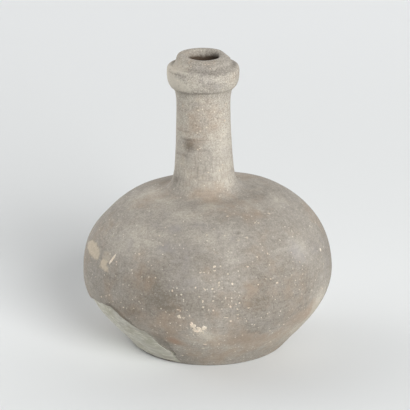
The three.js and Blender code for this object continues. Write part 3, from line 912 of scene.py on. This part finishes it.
def chart(corners):
    """Azimuths and heights as millimetres round and up the wall."""
    round_wall = [math.radians(azimuth) * skin_radius(height) for azimuth, height in corners]
    return np.array([round_wall, [height for _, height in corners]]).T


def distance_inside(places, corners):
    """The distance to an outline in the plane, positive inside it."""
    inside = np.zeros(len(places), bool)
    nearest = np.full(len(places), 1e9)
    for here, there in zip(corners, np.roll(corners, -1, axis=0)):
        edge = there - here
        share = np.clip((places - here) @ edge / (edge @ edge), 0, 1)
        offset = places - here - share[:, None] * edge
        nearest = np.minimum(nearest, np.hypot(offset[:, 0], offset[:, 1]))
        spans = (here[1] > places[:, 1]) != (there[1] > places[:, 1])
        rise = there[1] - here[1]
        crossing = here[0] + (places[:, 1] - here[1]) / (rise if rise else 1e-9) * edge[0]
        inside ^= spans & (places[:, 0] < crossing)
    return np.where(inside, nearest, -nearest)


EARTH_SPREAD = 0.3
EARTH_BEYOND = 70  # radius that leaves out the neck and the bore


def earth(points):
    """1 inside the earthy patches and 0 outside, with an edge under a millimetre wide."""
    radius = np.hypot(points[:, 0], points[:, 1])
    azimuth = np.arctan2(points[:, 1], points[:, 0]) % (2 * math.pi)
    places = np.stack([azimuth * radius, points[:, 2]], axis=1)
    ragged = lumps(points, 2.4, 6) + 0.5 * lumps(points, 6, 7)
    cover = np.zeros(len(points))
    for strength, corners in EARTH_PATCHES:
        depth = distance_inside(places, chart(corners)) + ragged + EARTH_SPREAD
        cover = np.maximum(cover, strength * smooth(depth, -0.5, 0.7))
    return cover * (radius > EARTH_BEYOND)


def beside_fill(points):
    """How far across, and how far outside the loss's outline, each point of the wall is."""
    sideways = points[:, :2] @ np.array(across.to_2d())
    places = np.stack([sideways, points[:, 2]], axis=1)
    away = -distance_inside(places, np.array(LOSS_CORNERS, float))
    behind = points[:, :2] @ np.array(outward.to_2d()) < 0
    return sideways, np.where(behind, 99, away)


def chip_shade_band(points):
    """A band of painted shade above the plaster's upper edge."""
    sideways, away = beside_fill(points)
    band = smooth(away, 0, 1) * (1 - smooth(away, 2, 4.5))
    return band * smooth(sideways, 0, 10) * (1 - smooth(sideways, 26, 33))


def smeared(points):
    """Plaster wiped over the clay at the fill's lower right end."""
    sideways, away = beside_fill(points)
    wiped = 1 - smooth(away, -0.5, 3.5)
    return wiped * smooth(sideways, 26, 33) * (1 - smooth(points[:, 2], 30, 36))


def broken(points):
    """1 on the scar and in the hollow of the loss, 0 on the old skin."""
    radius = np.hypot(points[:, 0], points[:, 1])
    heights = np.arange(0, EQUATOR, 0.5)
    skin = np.array([skin_radius(height) for height in heights])
    under_skin = np.interp(points[:, 2], heights, skin) - radius
    return smooth(under_skin, 0.5, 1.2) * (points[:, 2] < EQUATOR - 2)


def darker_in_bore(points):
    """How much darker the bore is painted: 0 at the mouth and 1 deep in it, on the bore alone."""
    radius = np.hypot(points[:, 0], points[:, 1])
    return smooth(CREST - points[:, 2], 1.8, 9.5) * (radius < BORE + 1.5)


# %% [markdown]
# Every clay piece gets the same seven numbers on its points, under names that the materials
# read. An image texture would need an unwrapped surface, and its seams would show.

# %% Paint the points
# how dark the band of painted shade above the fill is
CHIP_SHADE = 1.2


def paint(piece, name, values):
    """Store one number for each point of a piece under a name."""
    attribute = piece.data.attributes.new(name, "FLOAT", "POINT")
    attribute.data.foreach_set("value", values.astype(np.float32))


for piece in clay_pieces:
    points = before[piece.name]
    # the tone holds the clouds, with their painted light and shade, less the painted shade above the
    # fill
    paint(piece, "tone", cloud(points, TONES_AND_PAINTED_LIGHT) - CHIP_SHADE * chip_shade_band(points))
    paint(piece, "warmth", cloud(points, WARMTHS))
    paint(piece, "limy", cloud(points, LIMY))
    paint(piece, "earth", earth(points))
    paint(piece, "smear", smeared(points))
    paint(piece, "broken", broken(points))
    paint(piece, "soot", darker_in_bore(points))
paint(lime_grains, "size", grain_sizes)
print("points painted:", sum(len(piece.data.vertices) for piece in clay_pieces))

# %% [markdown]
# ## Materials
# Colours are written as they would be picked on a screen, and one function turns them to the
# linear values that light is worked out in. Another adds a node with its settings and links:
# a list fills the sockets in use from the top, a dictionary fills them by name, and a node
# given as a source stands for its first output. Patterns are sized in millimetres.

# %% Colour and nodes
SOFT = {"interpolation_type": "SMOOTHSTEP"}
COLOURS = {"data_type": "RGBA"}


def linear(code):
    """A screen colour such as #8c8579 as linear red, green, blue and alpha."""
    channels = [int(code[i : i + 2], 16) / 255 for i in (1, 3, 5)]
    light = [c / 12.92 if c <= 0.04045 else ((c + 0.055) / 1.055) ** 2.4 for c in channels]
    return (*light, 1)


def per(size):
    """The scale that gives a pattern lumps or cells of a size in millimetres."""
    return 1 / (size * MM)


def node(tree, kind, sources=(), **settings):
    """Add a node, give it its settings, and fill its sockets from values, outputs or nodes."""
    made = tree.nodes.new("ShaderNode" + kind)
    for name, value in settings.items():
        setattr(made, name, value)
    sockets = [socket for socket in made.inputs if socket.enabled]
    if isinstance(sources, dict):
        sockets = [made.inputs[name] for name in sources]
        sources = sources.values()
    for socket, source in zip(sockets, sources):
        if isinstance(source, bpy.types.Node):
            source = next(output for output in source.outputs if output.enabled)
        if isinstance(source, bpy.types.NodeSocket):
            tree.links.new(source, socket)
        else:
            socket.default_value = source
    return made


def new_material(name):
    """An empty node material, and its tree."""
    material = bpy.data.materials.new(name)
    material.use_nodes = True
    material.node_tree.nodes.clear()
    return material, material.node_tree


def finish_matt(tree, colour, bump, roughness, gloss=0.5):
    """End a dry, matt finish of the bottle: its shader and its output."""
    links = {
        "Base Color": colour,
        "Roughness": roughness,
        "Normal": bump,
        "Specular IOR Level": gloss,
    }
    shader = node(tree, "BsdfPrincipled", links)
    node(tree, "OutputMaterial", {"Surface": shader})


# %% [markdown]
# ### Blackware
# The clay is a coarse earthenware with grit and lime in it, smoothed with a wet hand and
# fired in smoke. It is quite matt: what light it sends back is scattered. The eye sees soft
# grey and brown clouds 20 to 50 mm across, mottling a few millimetres wide, faint streaks
# round the body where the hand wiped it, and cream specks of lime under a millimetre wide,
# which are drawn a little larger so that they show. The upper neck is sandier, because no
# wet hand went over it last.
#
# Three helpers come first: a weighted sum of noises, specks, which are the cells of a Voronoi
# pattern that a draw by chance leaves standing, and a warp that keeps them from being round.

# %% Helpers for the clay
def weighted(tree, parts, start):
    """A starting number plus each part's distance from its middle, times its weight."""
    total = start
    for part, weight in parts:
        swing = node(tree, "Math", [part, 0.5], operation="SUBTRACT")
        total = node(tree, "Math", [swing, weight, total], operation="MULTIPLY_ADD")
    return total


def specks(tree, place, spacing, size, density):
    """Specks with a half width of size, one in each cell that is chosen by chance."""
    cell = node(tree, "TexVoronoi", [place, per(spacing)])
    edges = [size / spacing, 0.6 * size / spacing]
    near = node(tree, "MapRange", [cell, *edges], **SOFT)
    chance = node(tree, "SeparateColor", [cell.outputs["Color"]])
    chosen = node(tree, "Math", [chance.outputs["Red"], density], operation="LESS_THAN")
    strength = [chance.outputs["Green"], 0.75, 0.25]
    strength = node(tree, "Math", strength, operation="MULTIPLY_ADD")
    near = node(tree, "Math", [near, chosen], operation="MULTIPLY")
    return node(tree, "Math", [near, strength], operation="MULTIPLY")


def warped(tree, place, size, reach):
    """The place shifted a little by noise, so that round things come out irregular."""
    wander = node(tree, "TexNoise", [place, per(size), 1]).outputs["Color"]
    shift = [wander, (reach * MM,) * 3, place]
    return node(tree, "VectorMath", shift, operation="MULTIPLY_ADD")


# %% [markdown]
# The noises are made once and shared, so that a dark streak is also a low one. Each has the
# size of what it stands for on the clay, and a stretch: noise squeezed upwards makes streaks
# round the body, and noise drawn out upwards the finger's strokes on the neck.

# %% Patterns on the clay
NOISES = {
    # stretch, size in millimetres, detail, roughness
    "clouds": ((1, 1, 1), 30, 3, 0.55),
    "streaks": ((1, 1, 6), 22, 3, 0.6),
    "wipes": ((1, 1, 9), 9, 2, 0.6),
    "strokes": ((1, 1, 0.12), 1.4, 1, 0.5),
    "mottle": ((1, 1, 1), 6, 3, 0.6),
    "sand": ((1, 1, 1), 2.2, 2, 0.6),
    "grain": ((1, 1, 1), 0.95, 1, 0.5),
}
PAINTED = ("tone", "warmth", "limy", "earth", "smear", "broken", "soot")
COMBED_TO = 172  # the finger's strokes up the neck fade out here
SANDY_FROM = 190  # the neck is at its sandiest from here up


def clay_skin(tree):
    """Where a point is on the bottle, its painted numbers and the clay's noises there."""
    place = node(tree, "TexCoord").outputs["Object"]
    rise = node(tree, "SeparateXYZ", [place]).outputs["Z"]
    neck_foot = [rise, (SHOULDER_TOP - 1) * MM, (COIL_TOP + 2) * MM]
    on_neck = node(tree, "MapRange", neck_foot, **SOFT)
    low = node(tree, "MapRange", [rise, COMBED_TO * MM, COIL_TOP * MM], **SOFT)
    skin = SimpleNamespace(place=place, on_neck=on_neck)
    skin.combed = node(tree, "Math", [on_neck, low], operation="MULTIPLY")
    skin.sandy = node(tree, "MapRange", [rise, COIL_TOP * MM, SANDY_FROM * MM], **SOFT)
    for name, (stretch, size, detail, rough) in NOISES.items():
        drawn = node(tree, "Mapping", {"Vector": place, "Scale": stretch})
        setattr(skin, name, node(tree, "TexNoise", [drawn, per(size), detail, rough]))
    for name in PAINTED:
        painted = node(tree, "Attribute", attribute_name=name)
        setattr(skin, name, painted.outputs["Fac"])
    return skin


# %% [markdown]
# Smoke and burning set how pale the clay is. That is one number, from 0 to 1, which a ramp
# turns into three colours of clay. On the neck it is higher, and the finger's upright strokes
# and a sandier grain are added. The painted tone is added last, and with it the painted light
# and shade on the collar, the body and above the fill.

# %% Shade of the clay
CLAY_DARK = linear("#716a60")
CLAY_MIDDLE = linear("#979188")
CLAY_PALE = linear("#bdb6a9")


def clay_shade(tree, skin):
    """The clay's colour from dark to pale."""
    parts = [
        (skin.clouds, 0.35),
        (skin.streaks, 0.3),
        (skin.wipes, 0.25),
        (skin.mottle, 0.4),
        (skin.sand, 0.5),
        (skin.grain, 0.62),
    ]
    shade = weighted(tree, parts, 0.47)
    combing = node(tree, "Math", [skin.strokes, 0.5], operation="SUBTRACT")
    combing = node(tree, "Math", [combing, skin.combed], operation="MULTIPLY")
    shade = node(tree, "Math", [combing, 0.6, shade], operation="MULTIPLY_ADD")
    shade = node(tree, "Math", [skin.on_neck, 0.16, shade], operation="MULTIPLY_ADD")
    smoother = node(tree, "Math", [skin.on_neck, -0.1], operation="MULTIPLY")
    rougher = node(tree, "Math", [skin.sandy, 0.7, smoother], operation="MULTIPLY_ADD")
    grit = node(tree, "Math", [skin.grain, 0.5], operation="SUBTRACT")
    shade = node(tree, "Math", [grit, rougher, shade], operation="MULTIPLY_ADD")
    # the painted tone brings in the painted shadow, shade, highlights and sheen, and the painted
    # shade above the fill
    toned = [skin.tone, 0.5, shade]
    shade = node(tree, "Math", toned, operation="MULTIPLY_ADD", use_clamp=True)
    ramp = node(tree, "ValToRGB", [shade])
    ramp.color_ramp.elements[0].color = CLAY_DARK
    ramp.color_ramp.elements[1].color = CLAY_PALE
    ramp.color_ramp.elements.new(0.5).color = CLAY_MIDDLE
    return ramp


# %% [markdown]
# Where air reached the clay in the kiln it turned browner, and where the smoke lay it is
# slate grey. Both come from one number, brown above 0 and slate below. A few places that
# burnt hardest are ruddy.

# %% Tint of the clay
CLAY_BROWN = linear("#9a8672")
CLAY_SLATE = linear("#8f8b8a")
CLAY_RUDDY = linear("#94705a")


def clay_tint(tree, skin, colour):
    """The clay's colour with its brown, slate and ruddy clouds."""
    broad = node(tree, "TexNoise", [skin.place, per(38), 2, 0.5])
    close = node(tree, "TexNoise", [skin.place, per(9), 3, 0.6])
    tint = weighted(tree, [(broad, 0.9), (close, 0.6)], 0.03)
    tint = node(tree, "Math", [skin.warmth, 0.25, tint], operation="MULTIPLY_ADD")
    brown = node(tree, "MapRange", [tint, 0, 0.4, 0, 0.5], **SOFT)
    slate = node(tree, "MapRange", [tint, 0, -0.4, 0, 0.6], **SOFT)
    colour = node(tree, "Mix", [brown, colour, CLAY_BROWN], **COLOURS)
    colour = node(tree, "Mix", [slate, colour, CLAY_SLATE], **COLOURS)
    ruddy = weighted(tree, [(close, 1)], skin.warmth)
    ruddy = node(tree, "Math", [ruddy, 1.2], operation="SUBTRACT", use_clamp=True)
    ruddy = node(tree, "Math", [ruddy, 0.45], operation="MULTIPLY")
    return node(tree, "Mix", [ruddy, colour, CLAY_RUDDY], **COLOURS)


# %% [markdown]
# Dry earth clings in two patches and is worn through where the sand stands out. Plaster was
# wiped over the clay beside the fill, the broken clay of the scar is a little darker, and the
# clay is painted darker deeper down the bore. Noise added to a painted number, before it is cut
# off, makes a ragged edge.

# %% Marks on the clay
CLAY_CORE = linear("#5f5448")
EARTH = linear("#bdb09c")
SMEAR = linear("#b4b3a5")
# the colour that the clay is painted towards, deeper down the bore
BORE_DARK = linear("#3b2a1a")


def earth_and_smear(tree, skin, colour):
    """The clay's colour under dry earth and wiped plaster."""
    worn = [skin.sand, 0.9, 0.4]
    worn = node(tree, "Math", worn, operation="MULTIPLY_ADD", use_clamp=True)
    earthy = node(tree, "Math", [skin.earth, worn], operation="MULTIPLY")
    colour = node(tree, "Mix", [earthy, colour, EARTH], **COLOURS)
    wiped = node(tree, "Math", [skin.wipes, 1.2, skin.smear], operation="MULTIPLY_ADD")
    wiped = node(tree, "MapRange", [wiped, 1.1, 1.3, 0, 0.8], **SOFT)
    return node(tree, "Mix", [wiped, colour, SMEAR], **COLOURS)


def break_and_bore_dark(tree, skin, colour):
    """The clay's colour in the scar, and painted darker deeper down the bore."""
    fresh = node(tree, "Math", [skin.broken, 0.16], operation="MULTIPLY")
    colour = node(tree, "Mix", [fresh, colour, CLAY_CORE], **COLOURS)
    darker_in_bore = node(tree, "Math", [skin.mottle, 0.8, skin.soot], operation="MULTIPLY_ADD")
    darker_in_bore = node(tree, "MapRange", [darker_in_bore, 0.5, 1.1, 0, 0.9], **SOFT)
    return node(tree, "Mix", [darker_in_bore, colour, BORE_DARK], **COLOURS)


# %% [markdown]
# Specks of burnt lime come in two sizes and stand a little proud, and pits where grit fell
# out are dark and low. Both are denser where the clay was painted limy, and the pits where
# the neck is sandy. The bump adds them to the shared noises.

# %% The clay
SPECK = linear("#ddd3c2")


def blackware():
    """Unglazed clay, hand-smoothed and smoke-fired."""
    material, tree = new_material("unglazed_blackware_clay")
    skin = clay_skin(tree)
    colour = clay_tint(tree, skin, clay_shade(tree, skin))
    colour = earth_and_smear(tree, skin, colour)

    density = node(tree, "Math", [skin.limy, 0.24, 0.22], operation="MULTIPLY_ADD")
    loose = warped(tree, skin.place, 1.6, 1)
    small_specks = specks(tree, loose, 2.6, 0.62, density)
    large_specks = specks(tree, loose, 5, 0.85, density)
    speck = node(tree, "Math", [small_specks, large_specks], operation="MAXIMUM")
    cream = node(tree, "Math", [speck, 0.7], operation="MULTIPLY")
    colour = node(tree, "Mix", [cream, colour, SPECK], **COLOURS)
    by_sand = node(tree, "Math", [skin.sandy, 0.35], operation="MULTIPLY")
    pit_density = node(tree, "Math", [density, 0.3, by_sand], operation="MULTIPLY_ADD")
    pits = specks(tree, loose, 2.4, 0.6, pit_density)
    dark = node(tree, "Math", [pits, 0.55], operation="MULTIPLY")
    colour = node(tree, "Mix", [dark, colour, CLAY_CORE], **COLOURS)
    colour = break_and_bore_dark(tree, skin, colour)

    parts = [
        (skin.mottle, 0.9),
        (skin.sand, 0.5),
        (skin.grain, 0.4),
        (skin.streaks, 0.4),
        (skin.wipes, 0.4),
    ]
    height = weighted(tree, parts, 0.5)
    height = node(tree, "Math", [pits, -0.4, height], operation="MULTIPLY_ADD")
    height = node(tree, "Math", [speck, 0.25, height], operation="MULTIPLY_ADD")
    bump = node(tree, "Bump", {"Height": height, "Distance": 0.4 * MM, "Strength": 0.8})
    finish_matt(tree, colour, bump, 0.9, 0.3)
    return material


clay = blackware()
print("clay nodes:", len(clay.node_tree.nodes))

# %% [markdown]
# ### Lime
# The grains are chalk-white to cream, a few of them stained pinkish by the clay, and quite
# matt. The smaller a grain, the more the clay's dust dulls it, so each grain's own size,
# painted on its points, chooses between two pairs of colours.

# %% The lime
LIME_DULL = linear("#b7ac9b")
LIME_CREAM = linear("#cabdab")
LIME_WHITE = linear("#d9cfc0")
LIME_PINK = linear("#ccb6a3")


def lime():
    """Burnt lime and lime crust, from white to a stained cream."""
    material, tree = new_material("burnt_lime")
    place = node(tree, "TexCoord").outputs["Object"]
    whiter = node(tree, "TexNoise", [place, per(3), 2])
    whiter = node(tree, "MapRange", [whiter, 0.4, 0.6], **SOFT)
    small = node(tree, "Mix", [whiter, LIME_DULL, LIME_CREAM], **COLOURS)
    large = node(tree, "Mix", [whiter, LIME_CREAM, LIME_WHITE], **COLOURS)
    size = node(tree, "Attribute", attribute_name="size").outputs["Fac"]
    larger = node(tree, "MapRange", [size, 1.2, 2.2], **SOFT)
    colour = node(tree, "Mix", [larger, small, large], **COLOURS)
    pinker = node(tree, "TexNoise", [place, per(9), 1])
    pinker = node(tree, "MapRange", [pinker, 0.5, 0.65, 0, 0.5], **SOFT)
    colour = node(tree, "Mix", [pinker, colour, LIME_PINK], **COLOURS)
    rough = node(tree, "TexNoise", [place, per(0.8)])
    bump = node(tree, "Bump", {"Height": rough, "Distance": 0.2 * MM})
    finish_matt(tree, colour, bump, 0.95)
    return material


burnt_lime = lime()
print("lime nodes:", len(burnt_lime.node_tree.nodes))

# %% [markdown]
# ### Fill plaster
# The fill is a toned gypsum plaster, laid on with a spatula and wiped with a damp brush along
# the loss. It is smoother and greener than the clay, with pale streaks and a little dirt that
# run with the strokes. A Mapping node turns and stretches the noise along the strokes.

# %% The plaster
PLASTER = linear("#b8b6ac")
PLASTER_PALE = linear("#cbc8bc")
PLASTER_GREEN = linear("#aaa797")
PLASTER_DIRTY = linear("#9b938a")
BRUSH_TURN = math.radians(38)
BRUSH_STRETCH = (0.3, 1, 1.8)


def fill_plaster():
    """Toned plaster, wiped along the loss with a damp brush."""
    material, tree = new_material("toned_fill_plaster")
    place = node(tree, "TexCoord").outputs["Object"]
    links = {"Vector": place, "Rotation": (0, BRUSH_TURN, 0), "Scale": BRUSH_STRETCH}
    stroke = node(tree, "Mapping", links)
    cloudy = node(tree, "TexNoise", [place, per(16), 3, 0.5])
    cloudy = node(tree, "MapRange", [cloudy, 0.35, 0.65], **SOFT)
    colour = node(tree, "Mix", [cloudy, PLASTER_GREEN, PLASTER], **COLOURS)
    brushed = node(tree, "TexNoise", [stroke, per(4), 5, 0.7])
    pale = node(tree, "MapRange", [brushed, 0.45, 0.65], **SOFT)
    colour = node(tree, "Mix", [pale, colour, PLASTER_PALE], **COLOURS)
    dirty = node(tree, "TexNoise", [stroke, per(9), 5, 0.7])
    dirty = node(tree, "MapRange", [dirty, 0.5, 0.62, 0, 0.45], **SOFT)
    colour = node(tree, "Mix", [dirty, colour, PLASTER_DIRTY], **COLOURS)
    bump = node(tree, "Bump", {"Height": brushed, "Distance": 0.3 * MM, "Strength": 0.6})
    finish_matt(tree, colour, bump, 0.8, 0.35)
    return material


plaster = fill_plaster()
print("plaster nodes:", len(plaster.node_tree.nodes))

# %% [markdown]
# ### Dried slip
# Slip is clay let down with water. It lies inside the joints, where nobody looks, but it has
# the fine crackle of something that shrank as it dried. A Voronoi pattern's distance to the
# edge of its cells draws such cracks.

# %% The slip
SLIP_BROWN = linear("#857b70")
SLIP_DARK = linear("#6b6258")


def dried_slip():
    """Fine clay slip, shrunk and crackled in the joints."""
    material, tree = new_material("dried_clay_slip")
    place = node(tree, "TexCoord").outputs["Object"]
    to_edge = node(tree, "TexVoronoi", [place, per(4)], feature="DISTANCE_TO_EDGE")
    crack = node(tree, "MapRange", [to_edge, 0.08, 0.02], **SOFT)
    colour = node(tree, "Mix", [crack, SLIP_BROWN, SLIP_DARK], **COLOURS)
    flat = node(tree, "Math", [1, crack], operation="SUBTRACT")
    bump = node(tree, "Bump", {"Height": flat, "Distance": 0.2 * MM})
    finish_matt(tree, colour, bump, 0.95)
    return material


slip = dried_slip()
print("slip nodes:", len(slip.node_tree.nodes))

# %% [markdown]
# ## Dressing the pieces
# Every piece gets its material, smooth shading with creases kept, and its place in the frame:
# it rides on the bottle's one body and stands for the plain solid of the same part. The thin
# lutes keep their solids, inside the joints, and get the slip's material.

# %% Dress
CREASE = math.radians(35)


def dress(piece, material, solid):
    """Shade a piece, give it its material, and let it stand for a solid, if there is one."""
    deselect()
    bpy.context.view_layer.objects.active = piece
    piece.select_set(True)
    bpy.ops.object.shade_smooth_by_angle(angle=CREASE)
    piece.data.materials.clear()
    piece.data.materials.append(material)
    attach(piece, "root")
    if solid:
        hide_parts(solid)


dress(lower_body, clay, "lower_body")
dress(upper_body, clay, "upper_body")
dress(root_coil, clay, "neck_root_coil")
dress(neck, clay, "neck")
dress(mouth_collar, clay, "mouth_collar")
dress(fill, plaster, "restoration_fill")
dress(lime_grains, burnt_lime, None)
for lute in ("equator_slip_lute", "neck_slip_lute", "collar_slip_lute"):
    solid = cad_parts[lute]
    solid.data.materials.clear()
    solid.data.materials.append(slip)
dressed = clay_pieces + [fill, lime_grains]
print("faces on dressed pieces:", sum(len(piece.data.polygons) for piece in dressed))

# %% [markdown]
# ## Floor
# A plain pale floor fills the picture, a little whiter towards the back.

# %% Floor
FLOOR_PALE = linear("#e1e3e3")
FLOOR_FAR = linear("#f4f6f7")
FLOOR_SIZE = 12
bpy.ops.mesh.primitive_plane_add(size=FLOOR_SIZE)
floor = bpy.context.object
floor.name = "floor"
floor_material, tree = new_material("matt_white_floor")
away = node(tree, "SeparateXYZ", [node(tree, "TexCoord").outputs["Object"]]).outputs["Y"]
away = node(tree, "MapRange", [away, 0.2, 1.5], **SOFT)
floor_colour = node(tree, "Mix", [away, FLOOR_PALE, FLOOR_FAR], **COLOURS)
links = {"Base Color": floor_colour, "Roughness": 0.9, "Specular IOR Level": 0.1}
shader = node(tree, "BsdfPrincipled", links)
node(tree, "OutputMaterial", {"Surface": shader})
floor.data.materials.append(floor_material)
print("floor, in metres across:", FLOOR_SIZE)

# %% [markdown]
# ## Light
# The light is that of a plain, pale studio: a bright backdrop behind the bottle that fades
# overhead, and a white reflector on the left that throws light back low over the floor. Both
# are soft shapes in the world's colour, which costs less noise than large glowing planes.

# %% Backdrop and reflector
BACKDROP_STRENGTH = 1.6
BACKDROP_AZIMUTH = 105
FADE_FROM = 0.59
FADE_TO = 0.99
REFLECTOR_AZIMUTH = 150
REFLECTOR_ELEVATION = 3
REFLECTOR_STRENGTH = 7.0
REFLECTOR_HALF_WIDTH = 24


def towards(azimuth, elevation):
    """A unit vector towards an azimuth and an elevation in degrees."""
    turn, lift = math.radians(azimuth), math.radians(elevation)
    level = math.cos(lift)
    return Vector((level * math.cos(turn), level * math.sin(turn), math.sin(lift)))


world = bpy.data.worlds.new("pale_studio")
bpy.context.scene.world = world
world.use_nodes = True
tree = world.node_tree
tree.nodes.clear()
direction = node(tree, "TexCoord").outputs["Generated"]
lift = node(tree, "SeparateXYZ", [direction]).outputs["Z"]

# The dot product of two directions is the cosine of the angle between them
behind = [direction, towards(BACKDROP_AZIMUTH, 0)]
behind = node(tree, "VectorMath", behind, operation="DOT_PRODUCT")
behind = node(tree, "MapRange", [behind, -0.5, 0.5], **SOFT)
low = node(tree, "MapRange", [lift, FADE_TO, FADE_FROM], **SOFT)
backdrop = node(tree, "Math", [low, behind], operation="MULTIPLY")
reflector = [direction, towards(REFLECTOR_AZIMUTH, REFLECTOR_ELEVATION)]
reflector = node(tree, "VectorMath", reflector, operation="DOT_PRODUCT")
edge_cosine = math.cos(math.radians(REFLECTOR_HALF_WIDTH))
reflector = [reflector, edge_cosine, 1, 0, REFLECTOR_STRENGTH]
reflector = node(tree, "MapRange", reflector, **SOFT)
strength = [backdrop, BACKDROP_STRENGTH, reflector]
strength = node(tree, "Math", strength, operation="MULTIPLY_ADD")
sky = node(tree, "Background", {"Color": (1, 1, 1, 1), "Strength": strength})
node(tree, "OutputWorld", {"Surface": sky})
print("world nodes:", len(tree.nodes))

# %% [markdown]
# One broad lamp at the front on the right gives the bottle its form: it leaves the left side
# darker, and its size keeps the shadows soft.

# %% Lamp
LAMP_AZIMUTH = 300
LAMP_ELEVATION = 25
LAMP_DISTANCE = 5.0
LAMP_SIZE = 2.8
LAMP_POWER = 324
aim = 100 * MM * UP
place = aim + LAMP_DISTANCE * towards(LAMP_AZIMUTH, LAMP_ELEVATION)
bpy.ops.object.light_add(type="AREA", location=place)
lamp = bpy.context.object
lamp.name = "broad_lamp"
lamp.data.size = LAMP_SIZE
lamp.data.energy = LAMP_POWER
lamp.rotation_euler = (aim - place).to_track_quat("-Z", "Y").to_euler()
print("lamp, in watts:", LAMP_POWER)

bpy.context.scene.view_settings.view_transform = "Standard"
